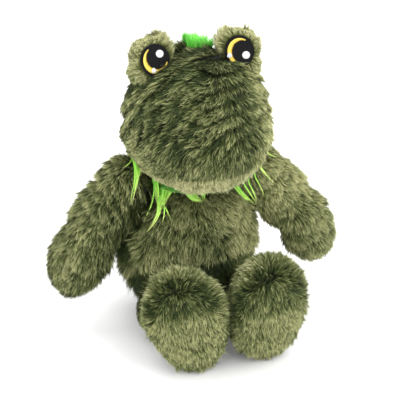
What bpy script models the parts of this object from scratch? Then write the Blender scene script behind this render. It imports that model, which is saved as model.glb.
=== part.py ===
"""Plush frog, sitting, with its legs stretched out in front.

Blender 4.5 script. Units are metres, +Z is up and the frog looks along -Y, so
its own left side is +X. The origin is the middle of the flat seat, on the
surface that the toy sits on.

The toy is made the way a sewn plush toy is made: skins cut from pile fabric,
each a thin shell that is open at its seams, around separate wads of stuffing,
with a bag of pellets in the seat. Head, arms, legs and feet are separate bags.
Each meets its neighbour at a round end, which is centred on the joint, so that
it can turn there; a ring of heavy closing thread lies at each such seam.
"""
import math

import bmesh
import bpy
import numpy as np
from mathutils import Matrix, Vector

MM = 0.001

# ---------------------------------------------------------------- dimensions
# All in millimetres. A skin's outer face lies about halfway through its pile.
SKIN = 1.6            # backing cloth with the dense foot of the pile
SEAM_GAP = 0.8        # room between two skins along a seam
WAD_GAP = 1.2         # room between a skin and the stuffing in it
THREAD_R = 0.8        # closing thread, laid as a ring of stitches
SLIVER = 1.8          # edges shorter than this are left out along a cut

NECK = Vector((0, -4, 150))          # nod and turn
SHOULDER = Vector((69, -6, 152))     # left arm; the right one is mirrored
HIP = Vector((42, -60, 30))          # left leg
ANKLE = Vector((45, -104, 47))       # left foot

NECK_R = 27           # ball of the neck, at the top of the torso
SHOULDER_R = 24
HIP_R = 27
ANKLE_R = 24
SOCKET_GAP = 1.4      # room around a round end in its socket
RING_GAP = 0.5        # room between a round end and its ring of thread

SEAT_RX, SEAT_RY, SEAT_T = 40, 33, 1.8
SEAT_Y = 5

MOUTH_Z = 185.5       # height of the mouth seam at the front of the muzzle
EYE_R, EYE_HIGH = 14.5, 1.06          # embroidered eye patch, a little taller than wide
EYE_SHIFT = {1: (-1.8, -3.3), -1: (1.2, -4.7)}       # from the middle of the mound's face
EYE_T = 0.9
EYE_LAYER = 0.5       # height of each stitched field on the patch
EYE_LAYER_GAP = 0.3
EYE_PITCH, EYE_YAW = 16, 4
MOUND = Vector((44.5, -20, 288.5))
MOUND_BASE = ((44, -19, 273), (19, 17.5, 15))
MOUND_R = (18, 18.5, 18)
TUFT_TO = (11, 10.5, 300)            # the tuft stands where a line to this point leaves the head
MOUND_FLAT = 11.5     # distance from the mound's middle to its flat front

ARM_LIFT = {1: 5, -1: 0}             # the left arm is held out further

# Each soft form is the smooth union of ellipsoids: centre, half sizes, turn
# about X, Y and Z in degrees. The second group is for the left side.
TORSO = dict(at=(0, -11, 92), soft=4, parts=[
    ((-3, -4, 76), (65.5, 56, 73), (0, 0, 0)),
    ((0, -1, 110), (58, 46, 38), (0, 0, 0)),
    ((-1, 6, 31), (49, 47, 45), (0, 0, 0)),
    (tuple(NECK), (NECK_R, NECK_R, NECK_R), (0, 0, 0))])
HEAD = dict(at=(0, -34, 220), soft=4, parts=[
    ((1, -20, 236), (65, 53, 50), (0, 0, 0)),
    ((0, -23, 207), (71, 57, 48), (0, 0, 0)),
    ((0, -46, 206.5), (66, 50, 46), (-4, 0, 0))])
ARM = dict(at=(96, -9, 112), soft=3, parts=[
    (tuple(SHOULDER), (SHOULDER_R, SHOULDER_R, SHOULDER_R), (0, 0, 0)),
    ((95, -8, 117), (25.5, 19.5, 42), (0, -28, 20)),
    ((118, -11.3, 80.5), (26.5, 18.5, 44), (0, -25, 28))])
LEG = dict(at=(43.5, -81, 38), soft=2, parts=[
    (tuple(HIP), (HIP_R, HIP_R, HIP_R), (0, 0, 0)),
    (tuple(ANKLE), (ANKLE_R, ANKLE_R, ANKLE_R), (0, 0, 0))])
# The feet stand a little differently: left (1) and right (-1).
FOOT_AT = {1: (39, -137, 62), -1: (-40.5, -137, 61)}
FOOT_R = (36, 20.5, 60.5)
FOOT_TURN = {1: (14, -6.5, 2), -1: (14, -13.5, -12)}

# ---------------------------------------------------------------- scene start
for ob in list(bpy.data.objects):
    bpy.data.objects.remove(ob, do_unlink=True)
for old in list(bpy.data.collections):
    bpy.data.collections.remove(old)

PARTS = bpy.data.collections.new("plush_frog")
CUTTERS = bpy.data.collections.new("cutters")
for col in (PARTS, CUTTERS):
    bpy.context.scene.collection.children.link(col)


def material(name, rgb, rough=0.95):
    mat = bpy.data.materials.new(name)
    mat.use_nodes = True
    bsdf = mat.node_tree.nodes["Principled BSDF"]
    bsdf.inputs["Base Color"].default_value = (*rgb, 1)
    bsdf.inputs["Roughness"].default_value = rough
    bsdf.inputs["Metallic"].default_value = 0
    mat.diffuse_color = (*rgb, 1)
    return mat


DARK_FUR = (0.085, 0.095, 0.035)
MID_FUR = (0.15, 0.165, 0.065)
PALE_FUR = (0.33, 0.34, 0.17)
NEON_FUR = (0.17, 0.70, 0.09)
FIBRE = (0.80, 0.80, 0.78)
CLOTH = (0.55, 0.55, 0.50)
THREAD = (0.10, 0.11, 0.04)
BLACK = (0.012, 0.012, 0.012)
GOLD = (0.80, 0.55, 0.06)
WHITE = (0.85, 0.85, 0.83)


# ---------------------------------------------------------------- form tools
def turn(deg):
    """Rotation about X, then Y, then Z."""
    rx, ry, rz = (math.radians(a) for a in deg)
    return np.array(Matrix.Rotation(rz, 3, "Z") @ Matrix.Rotation(ry, 3, "Y")
                    @ Matrix.Rotation(rx, 3, "X"))


def mirrored(form, side):
    """The form for one side: 1 is the frog's left (+X), -1 its right."""
    if side == 1:
        return form
    x, y, z = form["at"]
    return dict(at=(-x, y, z), soft=form["soft"], parts=[
        ((-c[0], c[1], c[2]), r, (a[0], -a[1], -a[2])) for c, r, a in form["parts"]])


def flip(v, side):
    return Vector((v[0] * side, v[1], v[2]))


def reach(form, dirs):
    """Distance from form['at'] to its surface along each unit direction.

    Beside an ellipsoid that a direction misses, the surface runs on smoothly
    from its edge, which fills the hollow between it and the next one.
    """
    at = np.array(form["at"], float)
    hits = []
    for centre, radii, deg in form["parts"]:
        m = turn(deg)
        r = np.array(radii, float)
        o = (m.T @ (at - np.array(centre, float))) / r
        q = (dirs @ m) / r
        a = (q * q).sum(1)
        b = (q * o).sum(1)
        c = (o * o).sum() - 1.0
        hits.append((-b + np.sqrt(np.maximum(b * b - a * c, 0.0))) / a)
    hits = np.stack(hits)
    top = hits.max(0)
    if len(hits) == 1:
        return top
    k = form["soft"]
    return top + k * np.log(np.exp((hits - top) / k).sum(0))


def ball(segments, rings, pole=(0, 0, 1)):
    """A unit sphere primitive with its poles along the given line."""
    bm = bmesh.new()
    bmesh.ops.create_uvsphere(bm, u_segments=segments, v_segments=rings, radius=1.0)
    rot = Vector((0, 0, 1)).rotation_difference(Vector(pole)).to_matrix()
    bmesh.ops.rotate(bm, verts=bm.verts, matrix=rot)
    return bm


def soft_form(form, segments, rings, inset=0.0, pole=(0, 0, 1)):
    """Sphere primitive pushed out to the form's surface, less the inset."""
    bm = ball(segments, rings, pole)
    dirs = np.array([v.co.normalized()[:] for v in bm.verts])
    dist = reach(form, dirs)
    at = np.array(form["at"], float)
    for v, d, r in zip(bm.verts, dirs, dist):
        v.co = Vector(at + d * r)
    if inset:
        bmesh.ops.recalc_face_normals(bm, faces=bm.faces)
        bm.normal_update()
        moved = [v.co - v.normal * inset for v in bm.verts]
        for v, co in zip(bm.verts, moved):
            v.co = co
    return bm


def keep(bm, point, normal, close=False):
    """Keep what lies on the normal's side of a plane."""
    point, normal = Vector(point), Vector(normal).normalized()
    geom = bm.verts[:] + bm.edges[:] + bm.faces[:]
    cut = bmesh.ops.bisect_plane(bm, geom=geom, dist=1e-4, plane_co=point,
                                 plane_no=normal, clear_inner=True)
    rim = [g for g in cut["geom_cut"] if isinstance(g, bmesh.types.BMVert) and g.is_valid]
    # corners that nearly meet a corner of the new edge are drawn into it
    def placed(v):
        return round(v.co.x, 2), round(v.co.y, 2), round(v.co.z, 2)

    inner = {e.other_vert(v) for v in rim for e in v.link_edges
             if e.calc_length() < SLIVER} - set(rim)
    order = sorted(rim, key=placed) + sorted(inner, key=placed)
    onto = {}
    for i, v in enumerate(order):
        if v not in onto:
            for w in order[i + 1:]:
                if w not in onto and (w.co - v.co).length < SLIVER:
                    onto[w] = v
    if onto:
        bmesh.ops.weld_verts(bm, targetmap=onto)
    for v in bm.verts:
        off = (v.co - point).dot(normal)
        if v.is_boundary and abs(off) < SLIVER:
            v.co -= normal * off
    if close:
        bmesh.ops.holes_fill(bm, edges=[e for e in bm.edges if e.is_boundary], sides=0)
        bmesh.ops.recalc_face_normals(bm, faces=bm.faces)
    return bm


def place(name, bm, origin, rgb, cutter=False):
    """Make the object in metres, with its origin at the given point."""
    origin = Vector(origin)
    for v in bm.verts:
        v.co = (v.co - origin) * MM
    bmesh.ops.recalc_face_normals(bm, faces=bm.faces)
    if bm.calc_volume(signed=True) < 0:
        bmesh.ops.reverse_faces(bm, faces=bm.faces)
    mesh = bpy.data.meshes.new(name)
    bm.to_mesh(mesh)
    bm.free()
    mesh.shade_smooth()
    ob = bpy.data.objects.new(name, mesh)
    ob.location = origin * MM
    (CUTTERS if cutter else PARTS).objects.link(ob)
    if cutter:
        ob.hide_render = True
        ob.display_type = "WIRE"
    else:
        mesh.materials.append(material(name, rgb))
    return ob


def shell(ob, thickness=SKIN):
    mod = ob.modifiers.new("cloth", "SOLIDIFY")
    mod.thickness = thickness * MM
    mod.offset = -1
    mod.use_rim = True
    return ob


def cut_with(ob, cutter):
    mod = ob.modifiers.new("cut", "BOOLEAN")
    mod.operation = "DIFFERENCE"
    mod.solver = "EXACT"
    mod.object = cutter
    return ob


def outward_open(bm, centre):
    """Turn the faces of an open sheet so that they look away from centre."""
    bm.normal_update()
    centre = Vector(centre)
    score = sum((f.calc_center_median() - centre).dot(f.normal) * f.calc_area()
                for f in bm.faces)
    if score < 0:
        bmesh.ops.reverse_faces(bm, faces=bm.faces)


def place_sheet(name, bm, origin, rgb, centre):
    """Like place, for an open sheet whose outside is away from centre."""
    origin = Vector(origin)
    outward_open(bm, centre)
    for v in bm.verts:
        v.co = (v.co - origin) * MM
    mesh = bpy.data.meshes.new(name)
    bm.to_mesh(mesh)
    bm.free()
    mesh.shade_smooth()
    ob = bpy.data.objects.new(name, mesh)
    ob.location = origin * MM
    PARTS.objects.link(ob)
    mesh.materials.append(material(name, rgb))
    return ob


def socket_cutter(name, centre, radius, segments=16, rings=10):
    bm = ball(segments, rings)
    # a faceted ball lies inside its sphere, so it is drawn a little larger
    fit = radius / math.cos(math.pi / rings)
    for v in bm.verts:
        v.co = Vector(centre) + v.co * fit
    return place(name, bm, centre, None, cutter=True)


def disc(name, centre, normal, radii, thickness, rgb, segments, origin=None, squash_x=None):
    """A flat round plate: a cylinder primitive on the given plane."""
    bm = bmesh.new()
    bmesh.ops.create_cone(bm, cap_ends=True, segments=segments, radius1=1, radius2=1, depth=1)
    rot = Vector((0, 0, 1)).rotation_difference(Vector(normal)).to_matrix()
    for v in bm.verts:
        v.co = Vector(centre) + rot @ Vector((v.co.x * radii[0], v.co.y * radii[1],
                                              v.co.z * thickness))
    return place(name, bm, origin or centre, rgb)


def ring(name, centre, axis, ball_r, ring_r, rgb, segments=18):
    """A ring of thread that lies on the ball of radius ball_r about centre."""
    level = math.sqrt((ball_r + THREAD_R) ** 2 - ring_r ** 2)
    bpy.ops.mesh.primitive_torus_add(major_segments=segments, minor_segments=4,
                                     major_radius=ring_r, minor_radius=THREAD_R)
    tmp = bpy.context.object
    bm = bmesh.new()
    bm.from_mesh(tmp.data)
    old = tmp.data
    bpy.data.objects.remove(tmp, do_unlink=True)
    bpy.data.meshes.remove(old)
    axis = Vector(axis).normalized()
    rot = Vector((0, 0, 1)).rotation_difference(axis).to_matrix()
    for v in bm.verts:
        v.co = Vector(centre) + axis * level + rot @ v.co
    return place(name, bm, centre, rgb)


# ---------------------------------------------------------------- torso
SIDES = ((1, "left"), (-1, "right"))
hip_cutters = {side: socket_cutter(f"cut_hip_{word}", flip(HIP, side),
                                   HIP_R + RING_GAP + 2 * THREAD_R + SOCKET_GAP)
               for side, word in SIDES}
torso_mid = Vector(TORSO["at"])

for name, y_dir in (("torso_front_panel", -1), ("torso_back_panel", 1)):
    bm = soft_form(TORSO, 22, 15)
    keep(bm, (0, 0.5 * SEAM_GAP * y_dir, 0), (0, y_dir, 0))
    keep(bm, (0, 0, SEAT_T + 1.2), (0, 0, 1))
    ob = shell(place_sheet(name, bm, (0, 0, 0), MID_FUR, torso_mid))
    if y_dir < 0:
        for side, _ in SIDES:
            cut_with(ob, hip_cutters[side])

disc("seat_base_panel", (0, SEAT_Y, SEAT_T / 2), (0, 0, 1), (SEAT_RX, SEAT_RY),
     SEAT_T, MID_FUR, 28, origin=(0, 0, 0))

WAD_Z = 30            # the stuffing starts above the pellet bag
bm = soft_form(TORSO, 22, 15, inset=SKIN + WAD_GAP)
keep(bm, (0, 0, WAD_Z), (0, 0, 1), close=True)
ob = place("torso_stuffing", bm, (0, 0, 0), FIBRE)
for side, _ in SIDES:
    cut_with(ob, hip_cutters[side])

bm = ball(14, 8)
for v in bm.verts:
    v.co = Vector((v.co.x * 38, SEAT_Y + 3 + v.co.y * 28, 15 + v.co.z * 12))
place("seat_pellet_bag", bm, (0, 0, 0), CLOTH)

# ---------------------------------------------------------------- neck ruff
# a strip of long pile sewn into the neck seam: a sloping collar round the neck
RUFF_IN, RUFF_OUT_X, RUFF_OUT_Y = 31.0, 42.0, 42.0
RUFF_Z_IN, RUFF_Z_OUT, RUFF_T = 155.5, 149.5, 1.6
bm = bmesh.new()
n_ring, n_step = 28, 3
rows = []
for i in range(n_step):
    t = i / (n_step - 1)
    rx = RUFF_IN + (RUFF_OUT_X - RUFF_IN) * t
    ry = RUFF_IN + (RUFF_OUT_Y - RUFF_IN) * t
    z = RUFF_Z_IN + (RUFF_Z_OUT - RUFF_Z_IN) * t ** 1.4
    rows.append([bm.verts.new((NECK.x + rx * math.cos(a), NECK.y + ry * math.sin(a), z))
                 for a in (2 * math.pi * j / n_ring for j in range(n_ring))])
for low, high in zip(rows, rows[1:]):
    for j in range(n_ring):
        k = (j + 1) % n_ring
        bm.faces.new((low[j], high[j], high[k], low[k]))
shell(place_sheet("mane_ruff", bm, NECK, NEON_FUR, NECK - Vector((0, 0, 60))), RUFF_T)

# ---------------------------------------------------------------- head
neck_cutter = socket_cutter("cut_neck", NECK, NECK_R + SOCKET_GAP, 20, 12)
head_mid = Vector(HEAD["at"])
MOUTH_SLOPE = Vector((0, 0.06, 1)).normalized()   # the mouth seam drops a little to the back
mouth_at = Vector((0, -95, MOUTH_Z))

bm = soft_form(HEAD, 22, 14)
keep(bm, mouth_at + MOUTH_SLOPE * SEAM_GAP / 2, MOUTH_SLOPE)
keep(bm, (0, 2 - SEAM_GAP / 2, 0), (0, -1, 0))
cut_with(shell(place_sheet("head_front_panel", bm, NECK, DARK_FUR, head_mid)), neck_cutter)

bm = soft_form(HEAD, 22, 14)
keep(bm, mouth_at + MOUTH_SLOPE * SEAM_GAP / 2, MOUTH_SLOPE)
keep(bm, (0, 2 + SEAM_GAP / 2, 0), (0, 1, 0))
cut_with(shell(place_sheet("head_back_panel", bm, NECK, DARK_FUR, head_mid)), neck_cutter)

bm = soft_form(HEAD, 22, 14)
keep(bm, mouth_at - MOUTH_SLOPE * SEAM_GAP / 2, -MOUTH_SLOPE)
cut_with(shell(place_sheet("chin_panel", bm, NECK, PALE_FUR, head_mid)), neck_cutter)

bm = soft_form(HEAD, 22, 14, inset=SKIN + WAD_GAP)
cut_with(place("head_stuffing", bm, NECK, FIBRE), neck_cutter)



def head_tangent(toward):
    """Point where a line from the head's middle leaves the head, and the normal there."""
    around = []
    for off in (Vector((0, 0, 0)), Vector((0.01, 0, 0)), Vector((0, 0.01, 0))):
        d = (toward + off).normalized()
        around.append(head_mid + d * float(reach(HEAD, np.array([d[:]]))[0]))
    n = (around[1] - around[0]).cross(around[2] - around[0]).normalized()
    return around[0], n if n.z > 0 else -n


# tuft of long pile sewn into the seam on top of the head
tuft_foot, tuft_out = head_tangent((Vector(TUFT_TO) - head_mid).normalized())
tuft_turn = Vector((0, 0, 1)).rotation_difference(tuft_out).to_matrix()
bm = ball(12, 6)
for v in bm.verts:
    v.co = tuft_foot + tuft_turn @ Vector((v.co.x * 12, v.co.y * 6.5, v.co.z * 13.5))
keep(bm, tuft_foot + tuft_out * 0.6, tuft_out, close=True)
place("head_tuft", bm, NECK, NEON_FUR)


def eye_frame(side):
    """Right, up and outward directions of an eye patch."""
    pitch, yaw = math.radians(EYE_PITCH), math.radians(EYE_YAW)
    out = Vector((-side * math.sin(yaw) * math.cos(pitch),
                  -math.cos(yaw) * math.cos(pitch), math.sin(pitch)))
    right = Vector((0, 0, 1)).cross(-out).normalized() * -1
    up = out.cross(right).normalized()
    if up.z < 0:
        up, right = -up, -right
    return right, up, out


def stitched(name, outline, centre, frame, level, rgb, segments_up=1):
    """A low plate with the given outline, lying on the eye patch."""
    right, up, out = frame
    bm = bmesh.new()
    low = [bm.verts.new(centre + right * x + up * y + out * level) for x, y in outline]
    high = [bm.verts.new(centre + right * x + up * y + out * (level + EYE_LAYER))
            for x, y in outline]
    n = len(outline)
    bm.faces.new(high)
    bm.faces.new(list(reversed(low)))
    for i in range(n):
        j = (i + 1) % n
        bm.faces.new((low[i], low[j], high[j], high[i]))
    return place(name, bm, NECK, rgb)


def circle(x, y, r, n=16):
    return [(x + r * math.cos(2 * math.pi * i / n), y + r * math.sin(2 * math.pi * i / n))
            for i in range(n)]


def crescent(turn_deg, r_out=11.9, r_in=10.9, shift=2.5, half=118, n=18):
    """Outline between an outer arc and an inner circle that is set off from it."""
    pts = []
    for i in range(n + 1):
        a = math.radians(-half + 2 * half * i / n)
        pts.append((r_out * math.cos(a), r_out * math.sin(a)))
    for i in range(n + 1):
        a = math.radians(half - 2 * half * i / n)
        # ray from the patch's middle to the inner circle, which is off centre
        b = shift * math.cos(a)
        r = -b + math.sqrt(b * b + r_in ** 2 - shift ** 2)
        pts.append((min(r, r_out - 0.35) * math.cos(a), min(r, r_out - 0.35) * math.sin(a)))
    t = math.radians(turn_deg)
    return [(x * math.cos(t) - y * math.sin(t), (x * math.sin(t) + y * math.cos(t)) * EYE_HIGH)
            for x, y in pts]


# where the gold crescent opens, and the two white highlights, on each patch
EYE_ART = {-1: dict(turn=234, big=(4.8, 5.7, 4.0), small=(-1.1, -10.3, 2.3)),
           1: dict(turn=170, big=(7.0, -3.0, 4.0), small=(-9.6, -3.4, 2.3))}

for side, word in SIDES:
    mid = flip(MOUND, side)
    right, up, out = eye_frame(side)
    # the mound is a dome that stands on the head, with a flat front for the eye
    base_at, base_r = MOUND_BASE
    dome = dict(at=tuple(mid), soft=2, parts=[
        (tuple(mid), MOUND_R, (0, 0, 0)), (tuple(flip(base_at, side)), base_r, (0, 0, 0))])
    # tangent plane of the head under the mound
    foot, n_head = head_tangent((mid - head_mid).normalized())

    def dome_form(inset, flat, lift, close):
        bm = soft_form(dome, 14, 10, inset=inset)
        for v in bm.verts:
            over = (v.co - mid).dot(out) - flat
            if over > 0:
                v.co -= out * over
        return keep(bm, foot + n_head * lift, n_head, close)

    bm = dome_form(0, MOUND_FLAT, 1.0, False)
    shell(place_sheet(f"eye_mound_{word}", bm, NECK, MID_FUR, mid), 1.4)
    bm = dome_form(2.4, MOUND_FLAT - 2.4, 2.4, True)
    place(f"eye_mound_stuffing_{word}", bm, NECK, FIBRE)

    face = mid + out * (MOUND_FLAT + 0.3)
    face += Vector((EYE_SHIFT[side][0], 0, 0)) + up * EYE_SHIFT[side][1]
    disc(f"eye_patch_{word}", face + out * EYE_T / 2, out, (EYE_R, EYE_R * EYE_HIGH), EYE_T, BLACK,
         28, origin=NECK)
    art = EYE_ART[side]
    level = EYE_T + EYE_LAYER_GAP
    frame = (right, up, out)
    stitched(f"eye_iris_{word}", crescent(art["turn"]), face, frame, level, GOLD)
    x, y, r = art["big"]
    stitched(f"eye_highlight_large_{word}", circle(x, y, r), face, frame, level, WHITE)
    x, y, r = art["small"]
    level2 = level + EYE_LAYER + EYE_LAYER_GAP
    stitched(f"eye_highlight_small_{word}", circle(x, y, r, 12), face, frame, level2, WHITE)

# ---------------------------------------------------------------- arms
for side, word in SIDES:
    form = mirrored(ARM, side)
    pivot = flip(SHOULDER, side)
    along = flip(Vector((117, -11, 81)), side) - pivot
    along.normalize()
    # the side seams run round the flat of the arm, which is turned outward
    face = flip(Vector((math.sin(math.radians(26)), -math.cos(math.radians(26)), 0)), side)
    face = (face - along * face.dot(along)).normalized()
    at = Vector(form["at"])
    lift = Matrix.Rotation(math.radians(-ARM_LIFT[side] * side), 3, "Y")

    def lifted(bm):
        bmesh.ops.rotate(bm, verts=bm.verts, cent=pivot, matrix=lift)
        return bm

    for name, sign in (("front", 1), ("back", -1)):
        bm = soft_form(form, 16, 14, pole=along)
        keep(bm, at + face * sign * 0.7, face * sign)
        shell(place_sheet(f"arm_{name}_panel_{word}", lifted(bm), pivot, MID_FUR,
                          pivot + lift @ (at - pivot)))
    bm = soft_form(form, 16, 14, inset=SKIN + WAD_GAP, pole=along)
    place(f"arm_stuffing_{word}", lifted(bm), pivot, FIBRE)
    ring(f"shoulder_seam_thread_{word}", pivot, flip(Vector((-0.98, 0, 0.17)), side),
         SHOULDER_R + RING_GAP, 13, THREAD)

# ---------------------------------------------------------------- legs
for side, word in SIDES:
    form = mirrored(LEG, side)
    hip, ankle = flip(HIP, side), flip(ANKLE, side)
    along = (ankle - hip).normalized()
    at = Vector(form["at"])
    # top and underside panels of the leg
    for name, sign in (("top", 1), ("under", -1)):
        bm = soft_form(form, 14, 9, pole=along)
        keep(bm, at + Vector((0, 0, sign * SEAM_GAP / 2)), (0, 0, sign))
        shell(place_sheet(f"leg_{name}_panel_{word}", bm, hip, MID_FUR, at))
    bm = soft_form(form, 14, 9, inset=SKIN + WAD_GAP, pole=along)
    place(f"leg_stuffing_{word}", bm, hip, FIBRE)
    ring(f"hip_seam_thread_{word}", hip, Vector((-0.15 * side, 0.8, 0.45)),
         HIP_R + RING_GAP, 18, THREAD)

    # foot: a thick oval pad that stands on its heel, sole to the front
    pad = dict(at=FOOT_AT[side], soft=1, parts=[(FOOT_AT[side], FOOT_R, FOOT_TURN[side])])
    foot_mid = Vector(pad["at"])
    m = Matrix(turn(FOOT_TURN[side]).tolist())
    sole_dir = (m @ Vector((0, -1, 0))).normalized()
    long_dir = (m @ Vector((0, 0, 1))).normalized()
    ankle_cutter = socket_cutter(f"cut_ankle_{word}", ankle, ANKLE_R + SOCKET_GAP)
    seam = foot_mid + sole_dir * 7
    bm = soft_form(pad, 18, 10, pole=sole_dir)
    keep(bm, seam + sole_dir * SEAM_GAP / 2, sole_dir)
    shell(place_sheet(f"foot_sole_{word}", bm, ankle, MID_FUR, foot_mid))
    bm = soft_form(pad, 18, 10, pole=sole_dir)
    keep(bm, seam - sole_dir * SEAM_GAP / 2, -sole_dir)
    cut_with(shell(place_sheet(f"foot_upper_{word}", bm, ankle, MID_FUR, foot_mid)),
             ankle_cutter)
    bm = soft_form(pad, 18, 10, inset=SKIN + WAD_GAP, pole=sole_dir)
    cut_with(place(f"foot_stuffing_{word}", bm, ankle, FIBRE), ankle_cutter)
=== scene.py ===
"""Plush frog: cloth skins, pile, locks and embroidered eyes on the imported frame."""
import math

import bmesh
import bpy
import numpy as np
from mathutils import Matrix, Vector
from mathutils.kdtree import KDTree


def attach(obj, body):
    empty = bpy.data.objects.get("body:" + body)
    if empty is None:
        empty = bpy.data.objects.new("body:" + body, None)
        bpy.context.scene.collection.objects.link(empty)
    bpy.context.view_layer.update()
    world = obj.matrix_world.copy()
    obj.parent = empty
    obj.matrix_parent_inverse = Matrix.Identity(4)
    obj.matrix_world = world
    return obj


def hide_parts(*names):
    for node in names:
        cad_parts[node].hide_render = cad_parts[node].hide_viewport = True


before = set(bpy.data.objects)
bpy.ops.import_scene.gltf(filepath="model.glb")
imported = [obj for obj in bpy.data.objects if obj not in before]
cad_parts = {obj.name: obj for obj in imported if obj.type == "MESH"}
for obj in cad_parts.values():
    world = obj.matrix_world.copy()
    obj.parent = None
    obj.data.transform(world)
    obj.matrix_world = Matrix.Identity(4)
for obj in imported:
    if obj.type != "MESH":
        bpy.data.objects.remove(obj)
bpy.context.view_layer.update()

MM = 0.001
SIDES = ((1, "left"), (-1, "right"))
THIN = 1.0

# ------------------------------------------------------------------ dimensions
# Millimetres, the same forms as the frame's solids.
NECK = Vector((0, -4, 150))
SHOULDER = Vector((69, -6, 152))
HIP = Vector((42, -60, 30))
ANKLE = Vector((45, -104, 47))
NECK_R, SHOULDER_R, HIP_R, ANKLE_R = 27, 24, 27, 24
MOUTH_AT = Vector((0, -95, 185.5))
MOUTH_UP = Vector((0, 0.06, 1)).normalized()
HEAD_SEAM_Y = 2
EYE_R, EYE_HIGH = 14.5, 1.06
EYE_SHIFT = {1: (-1.8, -3.3), -1: (1.2, -4.7)}
EYE_PITCH, EYE_YAW = 16, 4
MOUND = Vector((44.5, -20, 288.5))
MOUND_BASE = ((44, -19, 273), (19, 17.5, 15))
MOUND_R = (18, 18.5, 18)
MOUND_FLAT = 11.5
TUFT_TO = Vector((11, 10.5, 300))
ARM_LIFT = {1: 5, -1: 0}

TORSO = dict(at=(0, -11, 92), soft=4, parts=[
    ((-3, -4, 76), (65.5, 56, 73), (0, 0, 0)),
    ((0, -1, 110), (58, 46, 38), (0, 0, 0)),
    ((-1, 6, 31), (49, 47, 45), (0, 0, 0)),
    (tuple(NECK), (NECK_R, NECK_R, NECK_R), (0, 0, 0))])
HEAD = dict(at=(0, -34, 220), soft=4, parts=[
    ((1, -20, 236), (65, 53, 50), (0, 0, 0)),
    ((0, -23, 207), (71, 57, 48), (0, 0, 0)),
    ((0, -46, 206.5), (66, 50, 46), (-4, 0, 0))])
ARM = dict(at=(96, -9, 112), soft=3, parts=[
    (tuple(SHOULDER), (SHOULDER_R, SHOULDER_R, SHOULDER_R), (0, 0, 0)),
    ((95, -8, 117), (25.5, 19.5, 42), (0, -28, 20)),
    ((118, -11.3, 80.5), (26.5, 18.5, 44), (0, -25, 28))])
LEG = dict(at=(43.5, -81, 38), soft=2, parts=[
    (tuple(HIP), (HIP_R, HIP_R, HIP_R), (0, 0, 0)),
    (tuple(ANKLE), (ANKLE_R, ANKLE_R, ANKLE_R), (0, 0, 0))])
FOOT_AT = {1: (39, -137, 62), -1: (-40.5, -137, 61)}
FOOT_R = (36, 20.5, 60.5)
FOOT_TURN = {1: (14, -6.5, 2), -1: (14, -13.5, -12)}

# the camera of the photograph: azimuth, elevation, distance, aim
CAM_AZ, CAM_EL, CAM_FAR = -16.0, 24.0, 1250.0
CAM_AIM = Vector((0, -40, 150))


# ------------------------------------------------------------------ form tools
def turn(deg):
    rx, ry, rz = (math.radians(a) for a in deg)
    return np.array(Matrix.Rotation(rz, 3, "Z") @ Matrix.Rotation(ry, 3, "Y")
                    @ Matrix.Rotation(rx, 3, "X"))


def flip(v, side):
    return Vector((v[0] * side, v[1], v[2]))


def mirrored(form, side):
    if side == 1:
        return form
    x, y, z = form["at"]
    return dict(at=(-x, y, z), soft=form["soft"], parts=[
        ((-c[0], c[1], c[2]), r, (a[0], -a[1], -a[2])) for c, r, a in form["parts"]])


def turned(form, rot, pivot):
    """The form after a turn about a point. The turn goes with each part."""
    r, p = np.array(rot), np.array(pivot[:], float)
    move = lambda c: tuple(p + r @ (np.array(c, float) - p))
    return dict(at=move(form["at"]), soft=form["soft"],
                parts=[(move(c), s, a) for c, s, a in form["parts"]], rot=r)


def part_axes(form):
    """Centre, half sizes and rotation matrix of each ellipsoid of a form."""
    extra = form.get("rot", np.eye(3))
    return [(np.array(c, float), np.array(r, float), extra @ turn(a))
            for c, r, a in form["parts"]]


def reach(form, dirs):
    """Distance from form['at'] to its surface along each unit direction."""
    at = np.array(form["at"], float)
    hits = []
    for centre, r, m in part_axes(form):
        o = (m.T @ (at - centre)) / r
        q = (dirs @ m) / r
        a = (q * q).sum(1)
        b = (q * o).sum(1)
        c = (o * o).sum() - 1.0
        hits.append((-b + np.sqrt(np.maximum(b * b - a * c, 0.0))) / a)
    hits = np.stack(hits)
    top = hits.max(0)
    if len(hits) == 1:
        return top
    k = form["soft"]
    return top + k * np.log(np.exp((hits - top) / k).sum(0))


def depth(form, pts):
    """How far inside the form each point is, in millimetres, about."""
    best = np.full(len(pts), -1e9)
    for centre, r, m in part_axes(form):
        q = ((pts - centre) @ m) / r
        d = np.linalg.norm(q, axis=1)
        best = np.maximum(best, (1 - d) * r.min())
    return best


def unit(v):
    return v / np.maximum(np.linalg.norm(v, axis=-1, keepdims=True), 1e-9)


def flat_to(v, n):
    """The part of v that lies in the plane with normal n."""
    return unit(v - n * (v * n).sum(1, keepdims=True))


def spin(v, n, ang):
    """v, which lies across n, turned about n."""
    c, s = np.cos(ang)[:, None], np.sin(ang)[:, None]
    return v * c + np.cross(n, v) * s


def corner(ix, iy, iz, seed):
    h = (ix.astype(np.uint64) * np.uint64(374761393) + iy.astype(np.uint64) * np.uint64(668265263)
         + iz.astype(np.uint64) * np.uint64(2147483647) + np.uint64(seed * 974711 + 11))
    h = (h ^ (h >> np.uint64(13))) * np.uint64(1274126177)
    h ^= h >> np.uint64(16)
    return (h & np.uint64(0xFFFFF)).astype(float) / 0xFFFFF


def clouds(p, size, seed):
    """Smooth noise from -1 to 1, with features of about the given size."""
    q = np.asarray(p, float) / size + 311.0
    i = np.floor(q).astype(np.int64)
    f = q - i
    f = f * f * (3 - 2 * f)
    out = np.zeros(len(q))
    for dx in (0, 1):
        wx = f[:, 0] if dx else 1 - f[:, 0]
        for dy in (0, 1):
            wy = f[:, 1] if dy else 1 - f[:, 1]
            for dz in (0, 1):
                wz = f[:, 2] if dz else 1 - f[:, 2]
                out += wx * wy * wz * corner(i[:, 0] + dx, i[:, 1] + dy, i[:, 2] + dz, seed)
    return out * 2 - 1


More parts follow.
